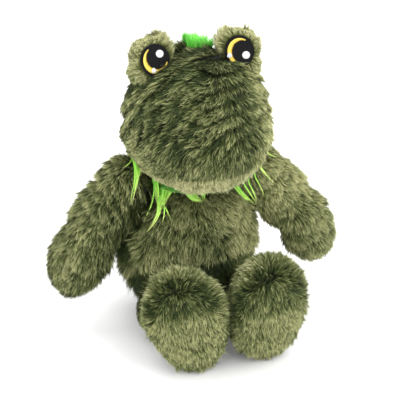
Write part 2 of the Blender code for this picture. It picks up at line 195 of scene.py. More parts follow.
def ramp(x, a, b):
    t = np.clip((x - a) / (b - a), 0, 1)
    return t * t * (3 - 2 * t)


# ------------------------------------------------------------------ materials
def material(name):
    mat = bpy.data.materials.new(name)
    mat.use_nodes = True
    tree = mat.node_tree
    bsdf = tree.nodes["Principled BSDF"]
    return mat, tree, bsdf


def set_colour(ramp_node, stops):
    el = ramp_node.color_ramp.elements
    while len(el) > 1:
        el.remove(el[-1])
    el[0].position, el[0].color = stops[0][0], (*stops[0][1], 1)
    for pos, col in stops[1:]:
        e = el.new(pos)
        e.color = (*col, 1)


def pile_material(name, along, tints, rough=0.6, sheen=0.09, sheen_tint=(0.8, 0.85, 0.5)):
    """Pile: U runs along a fibre, V is the fibre's tint: its own tone, and in places painted light and shade."""
    mat, tree, bsdf = material(name)
    uv = tree.nodes.new("ShaderNodeUVMap")
    uv.uv_map = "OFBake"
    sep = tree.nodes.new("ShaderNodeSeparateXYZ")
    tree.links.new(uv.outputs["UV"], sep.inputs[0])
    a = tree.nodes.new("ShaderNodeValToRGB")
    set_colour(a, along)
    tree.links.new(sep.outputs["X"], a.inputs["Fac"])
    b = tree.nodes.new("ShaderNodeValToRGB")
    set_colour(b, tints)
    tree.links.new(sep.outputs["Y"], b.inputs["Fac"])
    mix = tree.nodes.new("ShaderNodeMix")
    mix.data_type = "RGBA"
    mix.blend_type = "MULTIPLY"
    mix.inputs["Factor"].default_value = 1.0
    tree.links.new(a.outputs["Color"], mix.inputs["A"])
    tree.links.new(b.outputs["Color"], mix.inputs["B"])
    tree.links.new(mix.outputs["Result"], bsdf.inputs["Base Color"])
    bsdf.inputs["Roughness"].default_value = rough
    bsdf.inputs["Specular IOR Level"].default_value = 0.2
    bsdf.inputs["Sheen Weight"].default_value = sheen
    bsdf.inputs["Sheen Roughness"].default_value = 0.45
    bsdf.inputs["Sheen Tint"].default_value = (*sheen_tint, 1)
    return mat


def cloth_material(name, low, high, size=2.2, bump=0.35, kind="knit", rough=0.9, sheen=0.3):
    """Cloth with a mottled colour and a fine relief of threads."""
    mat, tree, bsdf = material(name)
    pos = tree.nodes.new("ShaderNodeTexCoord")
    n1 = tree.nodes.new("ShaderNodeTexNoise")
    n1.inputs["Scale"].default_value = 1000 / (size * 4)
    n1.inputs["Detail"].default_value = 4
    tree.links.new(pos.outputs["Object"], n1.inputs["Vector"])
    cr = tree.nodes.new("ShaderNodeValToRGB")
    set_colour(cr, [(0.3, low), (0.7, high)])
    tree.links.new(n1.outputs["Fac"], cr.inputs["Fac"])
    tree.links.new(cr.outputs["Color"], bsdf.inputs["Base Color"])
    if kind == "weave":
        w1 = tree.nodes.new("ShaderNodeTexWave")
        w1.bands_direction = "X"
        w2 = tree.nodes.new("ShaderNodeTexWave")
        w2.bands_direction = "Y"
        for w in (w1, w2):
            w.inputs["Scale"].default_value = 1000 / size / 3
            w.inputs["Distortion"].default_value = 0.6
            tree.links.new(pos.outputs["Object"], w.inputs["Vector"])
        height = tree.nodes.new("ShaderNodeMath")
        height.operation = "MULTIPLY"
        tree.links.new(w1.outputs["Fac"], height.inputs[0])
        tree.links.new(w2.outputs["Fac"], height.inputs[1])
        out = height.outputs[0]
    else:
        n2 = tree.nodes.new("ShaderNodeTexNoise")
        n2.inputs["Scale"].default_value = 1000 / size
        n2.inputs["Detail"].default_value = 3
        tree.links.new(pos.outputs["Object"], n2.inputs["Vector"])
        out = n2.outputs["Fac"]
    bp = tree.nodes.new("ShaderNodeBump")
    bp.inputs["Strength"].default_value = bump
    bp.inputs["Distance"].default_value = 0.0006
    tree.links.new(out, bp.inputs["Height"])
    tree.links.new(bp.outputs["Normal"], bsdf.inputs["Normal"])
    bsdf.inputs["Roughness"].default_value = rough
    bsdf.inputs["Sheen Weight"].default_value = sheen
    bsdf.inputs["Specular IOR Level"].default_value = 0.2
    return mat


def stitch_material(name, low, high, rough=0.42, angle=0.0, pitch=0.3, shine=0.35):
    """Satin stitch: close parallel threads with a silky gloss."""
    mat, tree, bsdf = material(name)
    pos = tree.nodes.new("ShaderNodeTexCoord")
    mp = tree.nodes.new("ShaderNodeMapping")
    mp.inputs["Rotation"].default_value = (0, angle, 0)
    tree.links.new(pos.outputs["Object"], mp.inputs["Vector"])
    w = tree.nodes.new("ShaderNodeTexWave")
    w.bands_direction = "X"
    w.inputs["Scale"].default_value = 1000 / pitch / 20
    w.inputs["Distortion"].default_value = 1.4
    w.inputs["Detail"].default_value = 1.5
    w.inputs["Detail Scale"].default_value = 3
    tree.links.new(mp.outputs["Vector"], w.inputs["Vector"])
    n = tree.nodes.new("ShaderNodeTexNoise")
    n.inputs["Scale"].default_value = 420
    n.inputs["Detail"].default_value = 2
    tree.links.new(pos.outputs["Object"], n.inputs["Vector"])
    m = tree.nodes.new("ShaderNodeMix")
    m.data_type = "FLOAT"
    m.inputs["Factor"].default_value = 0.45
    tree.links.new(w.outputs["Fac"], m.inputs["A"])
    tree.links.new(n.outputs["Fac"], m.inputs["B"])
    cr = tree.nodes.new("ShaderNodeValToRGB")
    set_colour(cr, [(0.15, low), (0.75, high)])
    tree.links.new(m.outputs["Result"], cr.inputs["Fac"])
    tree.links.new(cr.outputs["Color"], bsdf.inputs["Base Color"])
    bp = tree.nodes.new("ShaderNodeBump")
    bp.inputs["Strength"].default_value = 0.5
    bp.inputs["Distance"].default_value = 0.0004
    tree.links.new(w.outputs["Fac"], bp.inputs["Height"])
    tree.links.new(bp.outputs["Normal"], bsdf.inputs["Normal"])
    bsdf.inputs["Roughness"].default_value = rough
    bsdf.inputs["Specular IOR Level"].default_value = shine
    return mat


# the pale, greyed top of the olive tints is partly the pile's own paler fibres and partly a painted highlight for the
# gloss on the fibres
OLIVE = pile_material(
    "pile_olive",
    [(0.0, (0.00648, 0.01008, 0.00288)), (0.3, (0.02808, 0.03888, 0.01152)),
     (0.6, (0.1022, 0.1224, 0.04176)), (0.85, (0.216, 0.234, 0.1008)), (1.0, (0.3456, 0.36, 0.1872))],
    [(0.0, (0.10, 0.15, 0.07)), (0.3, (0.38, 0.48, 0.27)), (0.6, (1.0, 1.02, 0.86)),
     (0.8, (1.70, 1.62, 1.60)), (1.0, (2.4, 2.2, 2.4))])
PALE = pile_material(
    "pile_pale",
    [(0.0, (0.0324, 0.036, 0.01008)), (0.3, (0.1152, 0.1224, 0.0432)),
     (0.65, (0.288, 0.288, 0.1368)), (1.0, (0.5184, 0.5112, 0.324))],
    [(0.0, (0.22, 0.28, 0.15)), (0.3, (0.58, 0.65, 0.44)), (0.6, (1.0, 1.02, 0.88)),
     (1.0, (1.70, 1.68, 1.65))])
NEON = pile_material(
    "pile_bright",
    [(0.0, (0.10, 0.62, 0.04)), (0.35, (0.20, 0.86, 0.10)), (1.0, (0.34, 0.97, 0.20))],
    [(0.0, (0.55, 0.62, 0.50)), (0.5, (0.95, 0.97, 0.9)), (1.0, (1.5, 1.1, 1.5))],
    rough=0.5, sheen=0.1, sheen_tint=(0.7, 1.0, 0.6))
LOCK = pile_material(
    "pile_lock",
    [(0.0, (0.10, 0.62, 0.03)), (0.3, (0.22, 0.82, 0.07)),
     (0.65, (0.48, 0.95, 0.13)), (1.0, (0.80, 0.98, 0.28))],
    [(0.0, (0.30, 0.36, 0.24)), (0.5, (0.92, 0.96, 0.9)), (1.0, (1.3, 1.08, 1.4))],
    rough=0.42, sheen=0.1, sheen_tint=(0.8, 1.0, 0.6))

SKIN_OLIVE = cloth_material("skin_olive", (0.0112, 0.0152, 0.0048), (0.032, 0.04, 0.0128))
SKIN_PALE = cloth_material("skin_pale", (0.08, 0.088, 0.036), (0.152, 0.152, 0.068))
SKIN_GREEN = cloth_material("skin_green", (0.048, 0.24, 0.0208), (0.088, 0.368, 0.04))
BASE_CLOTH = cloth_material("base_cloth", (0.070, 0.080, 0.034), (0.12, 0.13, 0.058),
                            size=1.4, bump=0.8, kind="weave")
FIBRE = cloth_material("fibre", (0.62, 0.62, 0.60), (0.86, 0.86, 0.84), size=5, bump=1.0)
BEAD_CLOTH = cloth_material("bead_cloth", (0.62, 0.60, 0.54), (0.78, 0.76, 0.70),
                            size=1.2, bump=0.8, kind="weave")
THREAD = stitch_material("thread", (0.030, 0.036, 0.014), (0.085, 0.095, 0.040), rough=0.6)
EYE_BLACK = stitch_material("stitch_black", (0.0016, 0.0016, 0.0018), (0.0060, 0.0058, 0.0064),
                            rough=0.66, shine=0.12)
EYE_WHITE = stitch_material("stitch_white", (0.50, 0.50, 0.50), (0.66, 0.66, 0.66), rough=0.55)


def iris_material():
    """Amber threads, deep at the inner edge and bright at the outer one."""
    mat, tree, bsdf = material("stitch_amber")
    uv = tree.nodes.new("ShaderNodeUVMap")
    uv.uv_map = "OFBake"
    sep = tree.nodes.new("ShaderNodeSeparateXYZ")
    tree.links.new(uv.outputs["UV"], sep.inputs[0])
    wave = tree.nodes.new("ShaderNodeMath")
    wave.operation = "MULTIPLY"
    wave.inputs[1].default_value = 300.0
    tree.links.new(sep.outputs["Y"], wave.inputs[0])
    sine = tree.nodes.new("ShaderNodeMath")
    sine.operation = "SINE"
    tree.links.new(wave.outputs[0], sine.inputs[0])
    soft = tree.nodes.new("ShaderNodeMath")
    soft.operation = "MULTIPLY_ADD"
    soft.inputs[1].default_value = 0.09
    tree.links.new(sine.outputs[0], soft.inputs[0])
    tree.links.new(sep.outputs["X"], soft.inputs[2])
    cr = tree.nodes.new("ShaderNodeValToRGB")
    set_colour(cr, [(0.0, (0.36, 0.16, 0.006)), (0.10, (0.56, 0.33, 0.014)),
                    (0.24, (0.68, 0.49, 0.045)), (0.75, (0.70, 0.54, 0.08)),
                    (1.0, (0.62, 0.45, 0.05))])
    tree.links.new(soft.outputs[0], cr.inputs["Fac"])
    tree.links.new(cr.outputs["Color"], bsdf.inputs["Base Color"])
    bp = tree.nodes.new("ShaderNodeBump")
    bp.inputs["Strength"].default_value = 0.4
    bp.inputs["Distance"].default_value = 0.0003
    tree.links.new(sine.outputs[0], bp.inputs["Height"])
    tree.links.new(bp.outputs["Normal"], bsdf.inputs["Normal"])
    bsdf.inputs["Roughness"].default_value = 0.42
    return mat


EYE_AMBER = iris_material()


# ------------------------------------------------------------------ mesh makers
def link(name, mesh, body, mat):
    ob = bpy.data.objects.new(name, mesh)
    bpy.context.scene.collection.objects.link(ob)
    if mat:
        mesh.materials.append(mat)
    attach(ob, body)
    return ob


def sphere_grid(n_u, n_v, pole):
    """Unit directions and quads of a ball with its poles along the given line."""
    rot = np.array(Vector((0, 0, 1)).rotation_difference(Vector(pole)).to_matrix())
    dirs = [(0, 0, 1)]
    for j in range(1, n_v):
        t = math.pi * j / n_v
        for i in range(n_u):
            a = 2 * math.pi * i / n_u
            dirs.append((math.sin(t) * math.cos(a), math.sin(t) * math.sin(a), math.cos(t)))
    dirs.append((0, 0, -1))
    last = len(dirs) - 1
    faces = []
    for i in range(n_u):
        k = (i + 1) % n_u
        faces.append((0, 1 + i, 1 + k))
        for j in range(n_v - 2):
            a = 1 + j * n_u
            faces.append((a + i, a + n_u + i, a + n_u + k, a + k))
        a = 1 + (n_v - 2) * n_u
        faces.append((a + i, last, a + k))
    return np.array(dirs) @ rot.T, faces


def surface(form, n_u, n_v, pole=(0, 0, 1), shape=None, inset=0.0):
    """Points and faces of a form's skin. shape moves the points after the reach."""
    dirs, faces = sphere_grid(n_u, n_v, pole)
    pts = np.array(form["at"], float) + dirs * reach(form, dirs)[:, None]
    if shape is not None:
        pts = shape(pts)
    if inset:
        pts = pts - normals_of(pts, faces) * inset
    return pts, faces


def triangles(faces):
    tri = [f if len(f) == 3 else None for f in faces]
    out = []
    for f, t in zip(faces, tri):
        if t:
            out.append(t)
        else:
            out.append((f[0], f[1], f[2]))
            out.append((f[0], f[2], f[3]))
    return np.array(out)


def normals_of(pts, faces):
    tri = triangles(faces)
    a, b, c = pts[tri[:, 0]], pts[tri[:, 1]], pts[tri[:, 2]]
    fn = np.cross(b - a, c - a)
    n = np.zeros_like(pts)
    for k in range(3):
        np.add.at(n, tri[:, k], fn)
    n = unit(n)
    mid = pts.mean(0)
    if ((pts - mid) * n).sum() < 0:
        n = -n
    return n


def skin(name, pts, faces, cuts, body, mat, nodes, thick=1.2):
    """A cloth skin: the surface kept on one side of each cut, with its thickness."""
    bm = bmesh.new()
    vs = [bm.verts.new(p * MM) for p in pts]
    for f in faces:
        bm.faces.new([vs[i] for i in f])
    for point, normal in cuts:
        bmesh.ops.bisect_plane(bm, geom=bm.verts[:] + bm.edges[:] + bm.faces[:], dist=1e-7,
                               plane_co=Vector(point) * MM, plane_no=Vector(normal),
                               clear_inner=True)
    bmesh.ops.remove_doubles(bm, verts=bm.verts[:], dist=1e-5)
    bmesh.ops.recalc_face_normals(bm, faces=bm.faces)
    mid = Vector(pts.mean(0) * MM)
    bm.normal_update()
    if sum((f.calc_center_median() - mid).dot(f.normal) * f.calc_area() for f in bm.faces) < 0:
        bmesh.ops.reverse_faces(bm, faces=bm.faces)
    mesh = bpy.data.meshes.new(name)
    bm.to_mesh(mesh)
    bm.free()
    mesh.shade_smooth()
    ob = link(name, mesh, body, mat)
    mod = ob.modifiers.new("cloth", "SOLIDIFY")
    mod.thickness = thick * MM
    mod.offset = -1
    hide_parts(*nodes)
    return ob


def scatter(pts, faces, per_mm2, rng, weight=None):
    """Points spread evenly over a surface, with the surface's normals."""
    tri = triangles(faces)
    nrm = normals_of(pts, faces)
    a, b, c = pts[tri[:, 0]], pts[tri[:, 1]], pts[tri[:, 2]]
    area = 0.5 * np.linalg.norm(np.cross(b - a, c - a), axis=1)
    want = area * (weight((a + b + c) / 3) if weight is not None else 1.0)
    total = want.sum()
    count = int(total * per_mm2 * THIN)
    run = np.cumsum(want) / total
    pick = np.searchsorted(run, (np.arange(count) + rng.random(count)) / count)
    pick = np.minimum(pick, len(tri) - 1)
    u, v = rng.random(count), rng.random(count)
    over = u + v > 1
    u[over], v[over] = 1 - u[over], 1 - v[over]
    w = 1 - u - v
    t = tri[pick]
    p = pts[t[:, 0]] * w[:, None] + pts[t[:, 1]] * u[:, None] + pts[t[:, 2]] * v[:, None]
    n = unit(nrm[t[:, 0]] * w[:, None] + nrm[t[:, 1]] * u[:, None] + nrm[t[:, 2]] * v[:, None])
    return p, n


WIDTHS = {2: (0.9, 1.0), 3: (0.85, 1.0, 0.66), 4: (0.8, 1.0, 0.85, 0.5), 8: (0.7, 0.9, 1.0, 1.0, 0.95, 0.8, 0.6, 0.35)}
MOST_TRIS = 185000


def blades(name, line, side, width, tint, body, mat, floor=0.5):
    """Tapered blades along the given lines: (count, steps + 1, 3), in millimetres."""
    count, n = line.shape[0], line.shape[1] - 1
    line = line.copy()
    line[:, :, 2] = np.maximum(line[:, :, 2], floor)
    half = np.array(WIDTHS[n]) * 0.5
    tris = 2 * (n - 1) + 1
    step = max(1, MOST_TRIS // tris)
    made = []
    for part, start in enumerate(range(0, count, step)):
        sl = slice(start, min(count, start + step))
        p, s, w, v = line[sl], side[sl], width[sl], tint[sl]
        m = len(p)
        off = s[:, None, :] * (w[:, None] * half[None, :])[:, :, None]
        verts = np.empty((m, 2 * n + 1, 3))
        verts[:, 0:2 * n:2] = p[:, :n] - off
        verts[:, 1:2 * n:2] = p[:, :n] + off
        verts[:, 2 * n] = p[:, n]
        loops, starts, us = [], [], []
        at = 0
        for k in range(n - 1):
            loops += [2 * k, 2 * k + 1, 2 * k + 3, 2 * k + 2]
            us += [k / n, k / n, (k + 1) / n, (k + 1) / n]
            starts.append(at)
            at += 4
        loops += [2 * n - 2, 2 * n - 1, 2 * n]
        us += [(n - 1) / n, (n - 1) / n, 1.0]
        starts.append(at)
        at += 3
        base = (np.arange(m) * (2 * n + 1))[:, None]
        idx = (np.array(loops)[None, :] + base).astype(np.int32).ravel()
        st = (np.array(starts)[None, :] + (np.arange(m) * at)[:, None]).astype(np.int32).ravel()
        mesh = bpy.data.meshes.new(f"{name}_{part + 1}")
        mesh.vertices.add(m * (2 * n + 1))
        mesh.vertices.foreach_set("co", (verts * MM).astype(np.float32).ravel())
        mesh.loops.add(len(idx))
        mesh.loops.foreach_set("vertex_index", idx)
        mesh.polygons.add(len(st))
        mesh.polygons.foreach_set("loop_start", st)
        mesh.update(calc_edges=True)
        uv = mesh.uv_layers.new(name="OFBake")
        flat = np.empty((m, at, 2), np.float32)
        flat[:, :, 0] = 0.01 + 0.98 * np.array(us)[None, :]
        flat[:, :, 1] = np.clip(v, 0.02, 0.98)[:, None]
        uv.data.foreach_set("uv", flat.ravel())
        mesh.shade_smooth()
        made.append(link(mesh.name, mesh, body, mat))
    return made


def groups(root, per, size, rng):
    """Splits the roots into patches of about the given width: centres, and each root's centre."""
    centre = rng.permutation(len(root))[:max(4, int(len(root) / max(1.0, per * THIN * size * size)))]
    tree = KDTree(len(centre))
    for k, i in enumerate(centre):
        tree.insert(root[i], k)
    tree.balance()
    return centre, np.array([tree.find(p)[1] for p in root])


def grow(name, root, nrm, comb, length, lean, width, tint, body, mat, seed, per=2.4,
         clump=1.7, pull=0.46, lock=8.0, curl=0.7, swirl=0.5, steps=2, avoid=(), floor=0.5,
         bend=26, wild=0.08, rough=1.0, mottle=1.0, paint=None):
    """Pile that leans along comb, gathered into small points inside larger soft locks.

    paint gives a further tint from where a fibre comes to lie."""
    rng = np.random.default_rng(seed)
    count = len(root)
    if not count:
        return []
    comb = flat_to(comb, nrm)
    comb = spin(comb, nrm, swirl * (clouds(root, 14, seed + 1) + 0.6 * clouds(root, 6, seed + 2)))
    small, in_small = groups(root, per, clump, rng)
    large, in_large = groups(root, per, lock, rng)
    draw = lambda spread, a, b: (rng.normal(0, spread * a, len(small))[in_small]
                                 + rng.normal(0, spread * b, len(large))[in_large])
    comb = spin(comb, nrm, draw(0.27, 0.7, 0.8) * rough + rng.normal(0, 0.12, count))
    lean = lean + draw(6.0, 0.6, 0.9) + rng.normal(0, 4, count) + 6 * clouds(root, 8, seed + 3)
    lean = np.clip(lean, 4, 86)
    long = length * (1 + draw(0.13, 0.8, 0.7)) * rng.uniform(0.74, 1.08, count)
    fly = rng.random(count) < wild
    long = np.where(fly, long * 1.25, long)
    b = np.cross(nrm, comb)
    phase = rng.uniform(0, 2 * math.pi, count)
    line = np.empty((count, steps + 1, 3))
    line[:, 0] = root - nrm * 0.6
    for k in range(1, steps + 1):
        s = (k - 0.5) / steps
        a = np.radians(np.clip(lean + bend * (s - 0.4), 0, 95))[:, None]
        line[:, k] = line[:, k - 1] + (nrm * np.cos(a) + comb * np.sin(a)) * (long / steps)[:, None]
    for k in range(1, steps + 1):
        s = k / steps
        line[:, k] += b * (np.sin(phase + s * 4.2) * curl * s)[:, None]
    grip = np.where(fly, 0.1, pull)[:, None]
    heads = line[small]
    for k in range(1, steps + 1):
        line[:, k] += (heads[in_small, k] - line[:, k]) * (grip * (k / steps) ** 1.3)
    for form in avoid:
        hit = depth(form, line[:, steps]) > 0.5
        line[hit, 1:] = line[hit, :1] + (line[hit, 1:] - line[hit, :1]) * 0.5
    direction = unit(line[:, 1] - line[:, 0])
    side = unit(np.cross(direction, nrm) + 1e-6)
    up = np.cross(side, direction)
    roll = rng.normal(0, 0.6, count)[:, None]
    side = side * np.cos(roll) + up * np.sin(roll)
    tint = np.maximum(tint, 0.0) + draw(0.15, 1.0, 0.7) * mottle + rng.normal(0, 0.42, count) * mottle + 0.10 * fly
    if paint is not None:
        tint = tint + paint(line[:, 0] * 0.35 + line[:, steps] * 0.65)
    wide = width * rng.uniform(0.7, 1.25, count) * np.where(fly, 0.6, 1.0)
    return blades(name, line, side, wide, tint, body, mat, floor)


# ------------------------------------------------------------------ the frame's forms
ARM_FORM, ARM_ALONG, FOOT_FORM, FOOT_DIRS, LEG_FORM, MOUND_FORM, EYES = {}, {}, {}, {}, {}, {}, {}
head_mid = Vector(HEAD["at"])
for side, word in SIDES:
    form = mirrored(ARM, side)
    pivot = flip(SHOULDER, side)
    lift = Matrix.Rotation(math.radians(-ARM_LIFT[side] * side), 3, "Y")
    ARM_FORM[side] = turned(form, lift, pivot)
    along = (flip(Vector((117, -11, 81)), side) - pivot).normalized()
    face = flip(Vector((math.sin(math.radians(26)), -math.cos(math.radians(26)), 0)), side)
    face = (face - along * face.dot(along)).normalized()
    ARM_ALONG[side] = (lift @ along, lift @ face)
    LEG_FORM[side] = mirrored(LEG, side)
    FOOT_FORM[side] = dict(at=FOOT_AT[side], soft=1, parts=[
        (FOOT_AT[side], FOOT_R, FOOT_TURN[side])])
    m = Matrix(turn(FOOT_TURN[side]).tolist())
    FOOT_DIRS[side] = ((m @ Vector((0, -1, 0))).normalized(), (m @ Vector((0, 0, 1))).normalized(),
                       (m @ Vector((1, 0, 0))).normalized())
    mid = flip(MOUND, side)
    pitch, yaw = math.radians(EYE_PITCH), math.radians(EYE_YAW)
    out = Vector((-side * math.sin(yaw) * math.cos(pitch), -math.cos(yaw) * math.cos(pitch),
                  math.sin(pitch)))
    right = Vector((0, 0, 1)).cross(-out).normalized() * -1
    up = out.cross(right).normalized()
    if up.z < 0:
        up, right = -up, -right
    face_at = mid + out * (MOUND_FLAT + 0.3) + Vector((EYE_SHIFT[side][0], 0, 0)) + up * EYE_SHIFT[side][1]
    EYES[side] = (face_at, right, up, out, mid)
    MOUND_FORM[side] = dict(at=tuple(mid), soft=2, parts=[
        (tuple(mid), MOUND_R, (0, 0, 0)),
        (tuple(flip(MOUND_BASE[0], side)), MOUND_BASE[1], (0, 0, 0))])

DOWN = np.array((0, 0, -1.0))
UP = np.array((0, 0, 1.0))


def rows(v, n):
    return np.tile(np.array(v[:], float), (n, 1))


def spread_dir(side):
    """Across the arm, away from the body."""
    along = ARM_ALONG[side][0]
    out = Vector((side, 0, 0))
    return (out - along * out.dot(along)).normalized()


def buried(p, forms, deeper):
    out = np.zeros(len(p), bool)
    for f in forms:
        out |= depth(f, p) > deeper
    return out


# ------------------------------------------------------------------ torso
pts, faces = surface(TORSO, 96, 64)
limbs = [ARM_FORM[1], ARM_FORM[-1], LEG_FORM[1], LEG_FORM[-1], FOOT_FORM[1], FOOT_FORM[-1], HEAD]
inner, _ = surface(TORSO, 64, 44, inset=0.5)
in_faces = sphere_grid(64, 44, (0, 0, 1))[1]
for word, y_dir in (("front", -1), ("back", 1)):
    skin(f"skin_torso_{word}", inner, in_faces,
         [((0, 0.3 * y_dir, 0), (0, y_dir, 0)), ((0, 0, 3.2), (0, 0, 1))],
         "torso", SKIN_OLIVE, [f"torso_{word}_panel"])
rng = np.random.default_rng(101)
root, nrm = scatter(pts, faces, 2.1, rng)
ok = (root[:, 2] > 3.4) & ~buried(root, limbs, 4.5)
ok &= np.linalg.norm(root - np.array(NECK), axis=1) > NECK_R + 1
root, nrm = root[ok], nrm[ok]
fold = 0.5 * clouds(root, 22, 7)
comb = rows(DOWN, len(root)) + 0.35 * np.stack([fold, np.zeros(len(root)), np.zeros(len(root))], 1)
# the pile stands up where it meets the ruff
collar = ramp(np.hypot(root[:, 0] - NECK.x, root[:, 1] - NECK.y), 46, 38) * ramp(root[:, 2], 128, 136)
collar *= ramp(root[:, 1], -24, -8)
low = ramp(root[:, 2], 26, 4)
ahead = root[:, 1] < 0
tint = np.full(len(root), 0.52)
# painted light: the front is paler towards the toy's left side, where the lamp falls
tint += 0.04 * ahead + 0.48 * ramp(root[:, 0], 8, 44) * ahead + 0.20 * ramp(root[:, 2], 112, 128) * ramp(np.abs(root[:, 0]), 34, 20)
crease = np.exp(-((root[:, 2] - 98 + 0.12 * root[:, 0] + 3 * clouds(root, 20, 10)) / 4.5) ** 2)
crease *= (root[:, 1] < -10) * ramp(root[:, 0], 30, 10)
# painted shade in the belly's crease
tint -= 0.20 * crease
# dark in the shade of the right arm, and under the belly
shade = -root[:, 0] + root[:, 1] + 0.1 * (root[:, 2] - 130) + 0.9 * np.maximum(root[:, 2] - 126, 0)
shade = ramp(shade + 3 * clouds(root, 12, 11), 20, 33) * ramp(root[:, 2], 66, 84) * ramp(root[:, 1], 12, 0)
tint -= 0.74 * shade
brink = 57 + 27 * ramp(-root[:, 1], 5, 45) - 6 * ramp(-root[:, 0], 28, 44)
under = ramp(root[:, 2] - brink, 4, -4) * ramp(root[:, 1], 26, 8)
tint -= (0.40 + 0.28 * ramp(root[:, 0], 58, 44)) * under
side_len = 5.0 * ramp(root[:, 0], 44, 56) * ramp(root[:, 2], 78, 92) + 4.0 * ramp(-root[:, 0], 48, 58) * ramp(root[:, 2], 22, 34)
side_len -= 4.0 * under * ramp(-root[:, 1], 15, 40)
stand = ramp(-root[:, 0], 50, 60) * ramp(root[:, 2], 50, 60) * ramp(root[:, 2], 98, 88)
for word, mask in (("front", root[:, 1] < 0), ("back", root[:, 1] >= 0)):
    grow(f"fur_torso_{word}", root[mask], nrm[mask], comb[mask], (12.5 + side_len - 4.5 * low)[mask],
         (55 + 8 * low - 8 * crease - 16 * stand - 26 * collar)[mask], 0.7, tint[mask], "torso", OLIVE,
         110 + (word == "back"), avoid=limbs,
         mottle=(1.1 - 0.90 * np.maximum(under, shade))[mask],
         paint=lambda q: 0.22 * clouds(q, 17, 8) + 0.15 * clouds(q, 7, 9))

# the seat: an oval base, gathered a little at its edge
bm = bmesh.new()
prev = None
for j, (f, z) in enumerate(((1.0, 1.75), (1.0, 0.9), (0.985, 0.3), (0.96, 0.0), (0.6, 0.0), (0.2, 0.0))):
    ring_v = []
    for i in range(72):
        a = 2 * math.pi * i / 72
        g = 1 + 0.006 * math.sin(a * 24) * (j < 4)
        ring_v.append(bm.verts.new(Vector((40 * f * g * math.cos(a), 5 + 33 * f * g * math.sin(a), z)) * MM))
    if prev:
        for i in range(72):
            k = (i + 1) % 72
            bm.faces.new((prev[i], ring_v[i], ring_v[k], prev[k]))
    else:
        first = ring_v
    prev = ring_v
bm.faces.new(prev)
bm.faces.new(list(reversed(first)))
bmesh.ops.recalc_face_normals(bm, faces=bm.faces)
mesh = bpy.data.meshes.new("seat_base_cloth")
bm.to_mesh(mesh)
bm.free()
mesh.shade_smooth()
ob = link("seat_base_cloth", mesh, "torso", BASE_CLOTH)
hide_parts("seat_base_panel")

# ------------------------------------------------------------------ head
pts, faces = surface(HEAD, 120, 80)
inner, in_faces = surface(HEAD, 72, 48, inset=0.5)
up_at, down_at = MOUTH_AT + MOUTH_UP * 0.3, MOUTH_AT - MOUTH_UP * 0.3
skin("skin_head_front", inner, in_faces, [(up_at, MOUTH_UP), ((0, HEAD_SEAM_Y - 0.3, 0), (0, -1, 0))],
     "head", SKIN_OLIVE, ["head_front_panel"])
skin("skin_head_back", inner, in_faces, [(up_at, MOUTH_UP), ((0, HEAD_SEAM_Y + 0.3, 0), (0, 1, 0))],
     "head", SKIN_OLIVE, ["head_back_panel"])
skin("skin_chin", inner, in_faces, [(down_at, -MOUTH_UP)],
     "head", SKIN_PALE, ["chin_panel"])

MUZZLE = np.array((2.0, -98.0, 196.0))
rng = np.random.default_rng(201)
root, nrm = scatter(pts, faces, 2.4, rng)
mouth_h = (root - np.array(MOUTH_AT)) @ np.array(MOUTH_UP)
mounds = [MOUND_FORM[1], MOUND_FORM[-1]]
hidden = buried(root, mounds, 2.5) | buried(root, [TORSO], 5)
hidden |= np.linalg.norm(root - np.array(NECK), axis=1) < NECK_R + 3
upper = (mouth_h > 0) & ~hidden
p, n = root[upper], nrm[upper]
away = p - MUZZLE
far = np.linalg.norm(away, axis=1)
front = ramp(p[:, 1], 6, -24)[:, None]
# the pile lies across the brow, and fans slowly round to the right cheek
brow = ramp(p[:, 2], 198, 234)
fan = -66 + 122 * np.clip((p[:, 0] + 6 + 6 * clouds(p, 22, 26)) / 66, 0, 1)
fan = np.radians(fan * (0.38 + 0.62 * brow) - 42 * ramp(-p[:, 0], 34, 58) * (1 - brow))
zero = np.zeros(len(p))
stroke = np.stack([np.sin(fan), zero, -np.cos(fan)], 1)
comb = flat_to(stroke * front + DOWN * (1 - front), n)
# folds over the brow and the left cheek: the pile of each hangs over a gap below it, painted dark as shade, and its
# crest is painted paler as light
FOLD_AT = np.array((40.0, -84.0, 166.0))


def brow_folds(q):
    """How strong the folds are, and the place across a fold, from its crest on."""
    wander = 4.5 * clouds(q, 28, 21) + 1.6 * clouds(q, 11, 22)
    at = np.mod((np.linalg.norm(q - FOLD_AT, axis=1) + wander) / 12.0, 1)
    force = ramp(q[:, 2], 202, 222) * ramp(q[:, 1], 5, -22) * (0.85 + 0.6 * clouds(q, 17, 23))
    return np.clip(force, 0, 1.1), at


def brow_shading_and_tone(q):
    force, at = brow_folds(q)
    # painted highlight on each fold's crest and painted shade in the gap below it; the clouds are the pile's own
    # uneven tone
    pale = ramp(at, 0.0, 0.06) * ramp(at, 0.62, 0.35)
    dark = ramp(at, 0.60, 0.72) * ramp(at, 1.0, 0.96)
    return (force * (0.16 * pale - 0.60 * dark) + 0.16 * clouds(q, 20, 24) + 0.10 * clouds(q, 6, 25)
            + 0.20 * clouds(q, 11, 27) * (1 - 0.7 * force))


strong, saw = brow_folds(p)
crest = ramp(saw, 0.0, 0.08) * ramp(saw, 0.62, 0.20)
gap = ramp(saw, 0.58, 0.76) * ramp(saw, 1.0, 0.98)
comb = comb - unit(p - FOLD_AT) * (0.25 * strong * crest)[:, None]
p = p + n * (3.4 * strong * (1 - saw))[:, None]
tint = 0.27 + 0.06 * strong
tint += 0.32 * ramp(np.abs(p[:, 0]), 46, 66) * front[:, 0] + 0.12 * ramp(p[:, 2], 205, 185)
# painted light: the toy's left cheek is much paler, where the lamp falls
tint += 0.86 * ramp(p[:, 0], 32, 52) + 0.14 * ramp(p[:, 1], -20, 20) - 0.06 * ramp(p[:, 2], 250, 278)
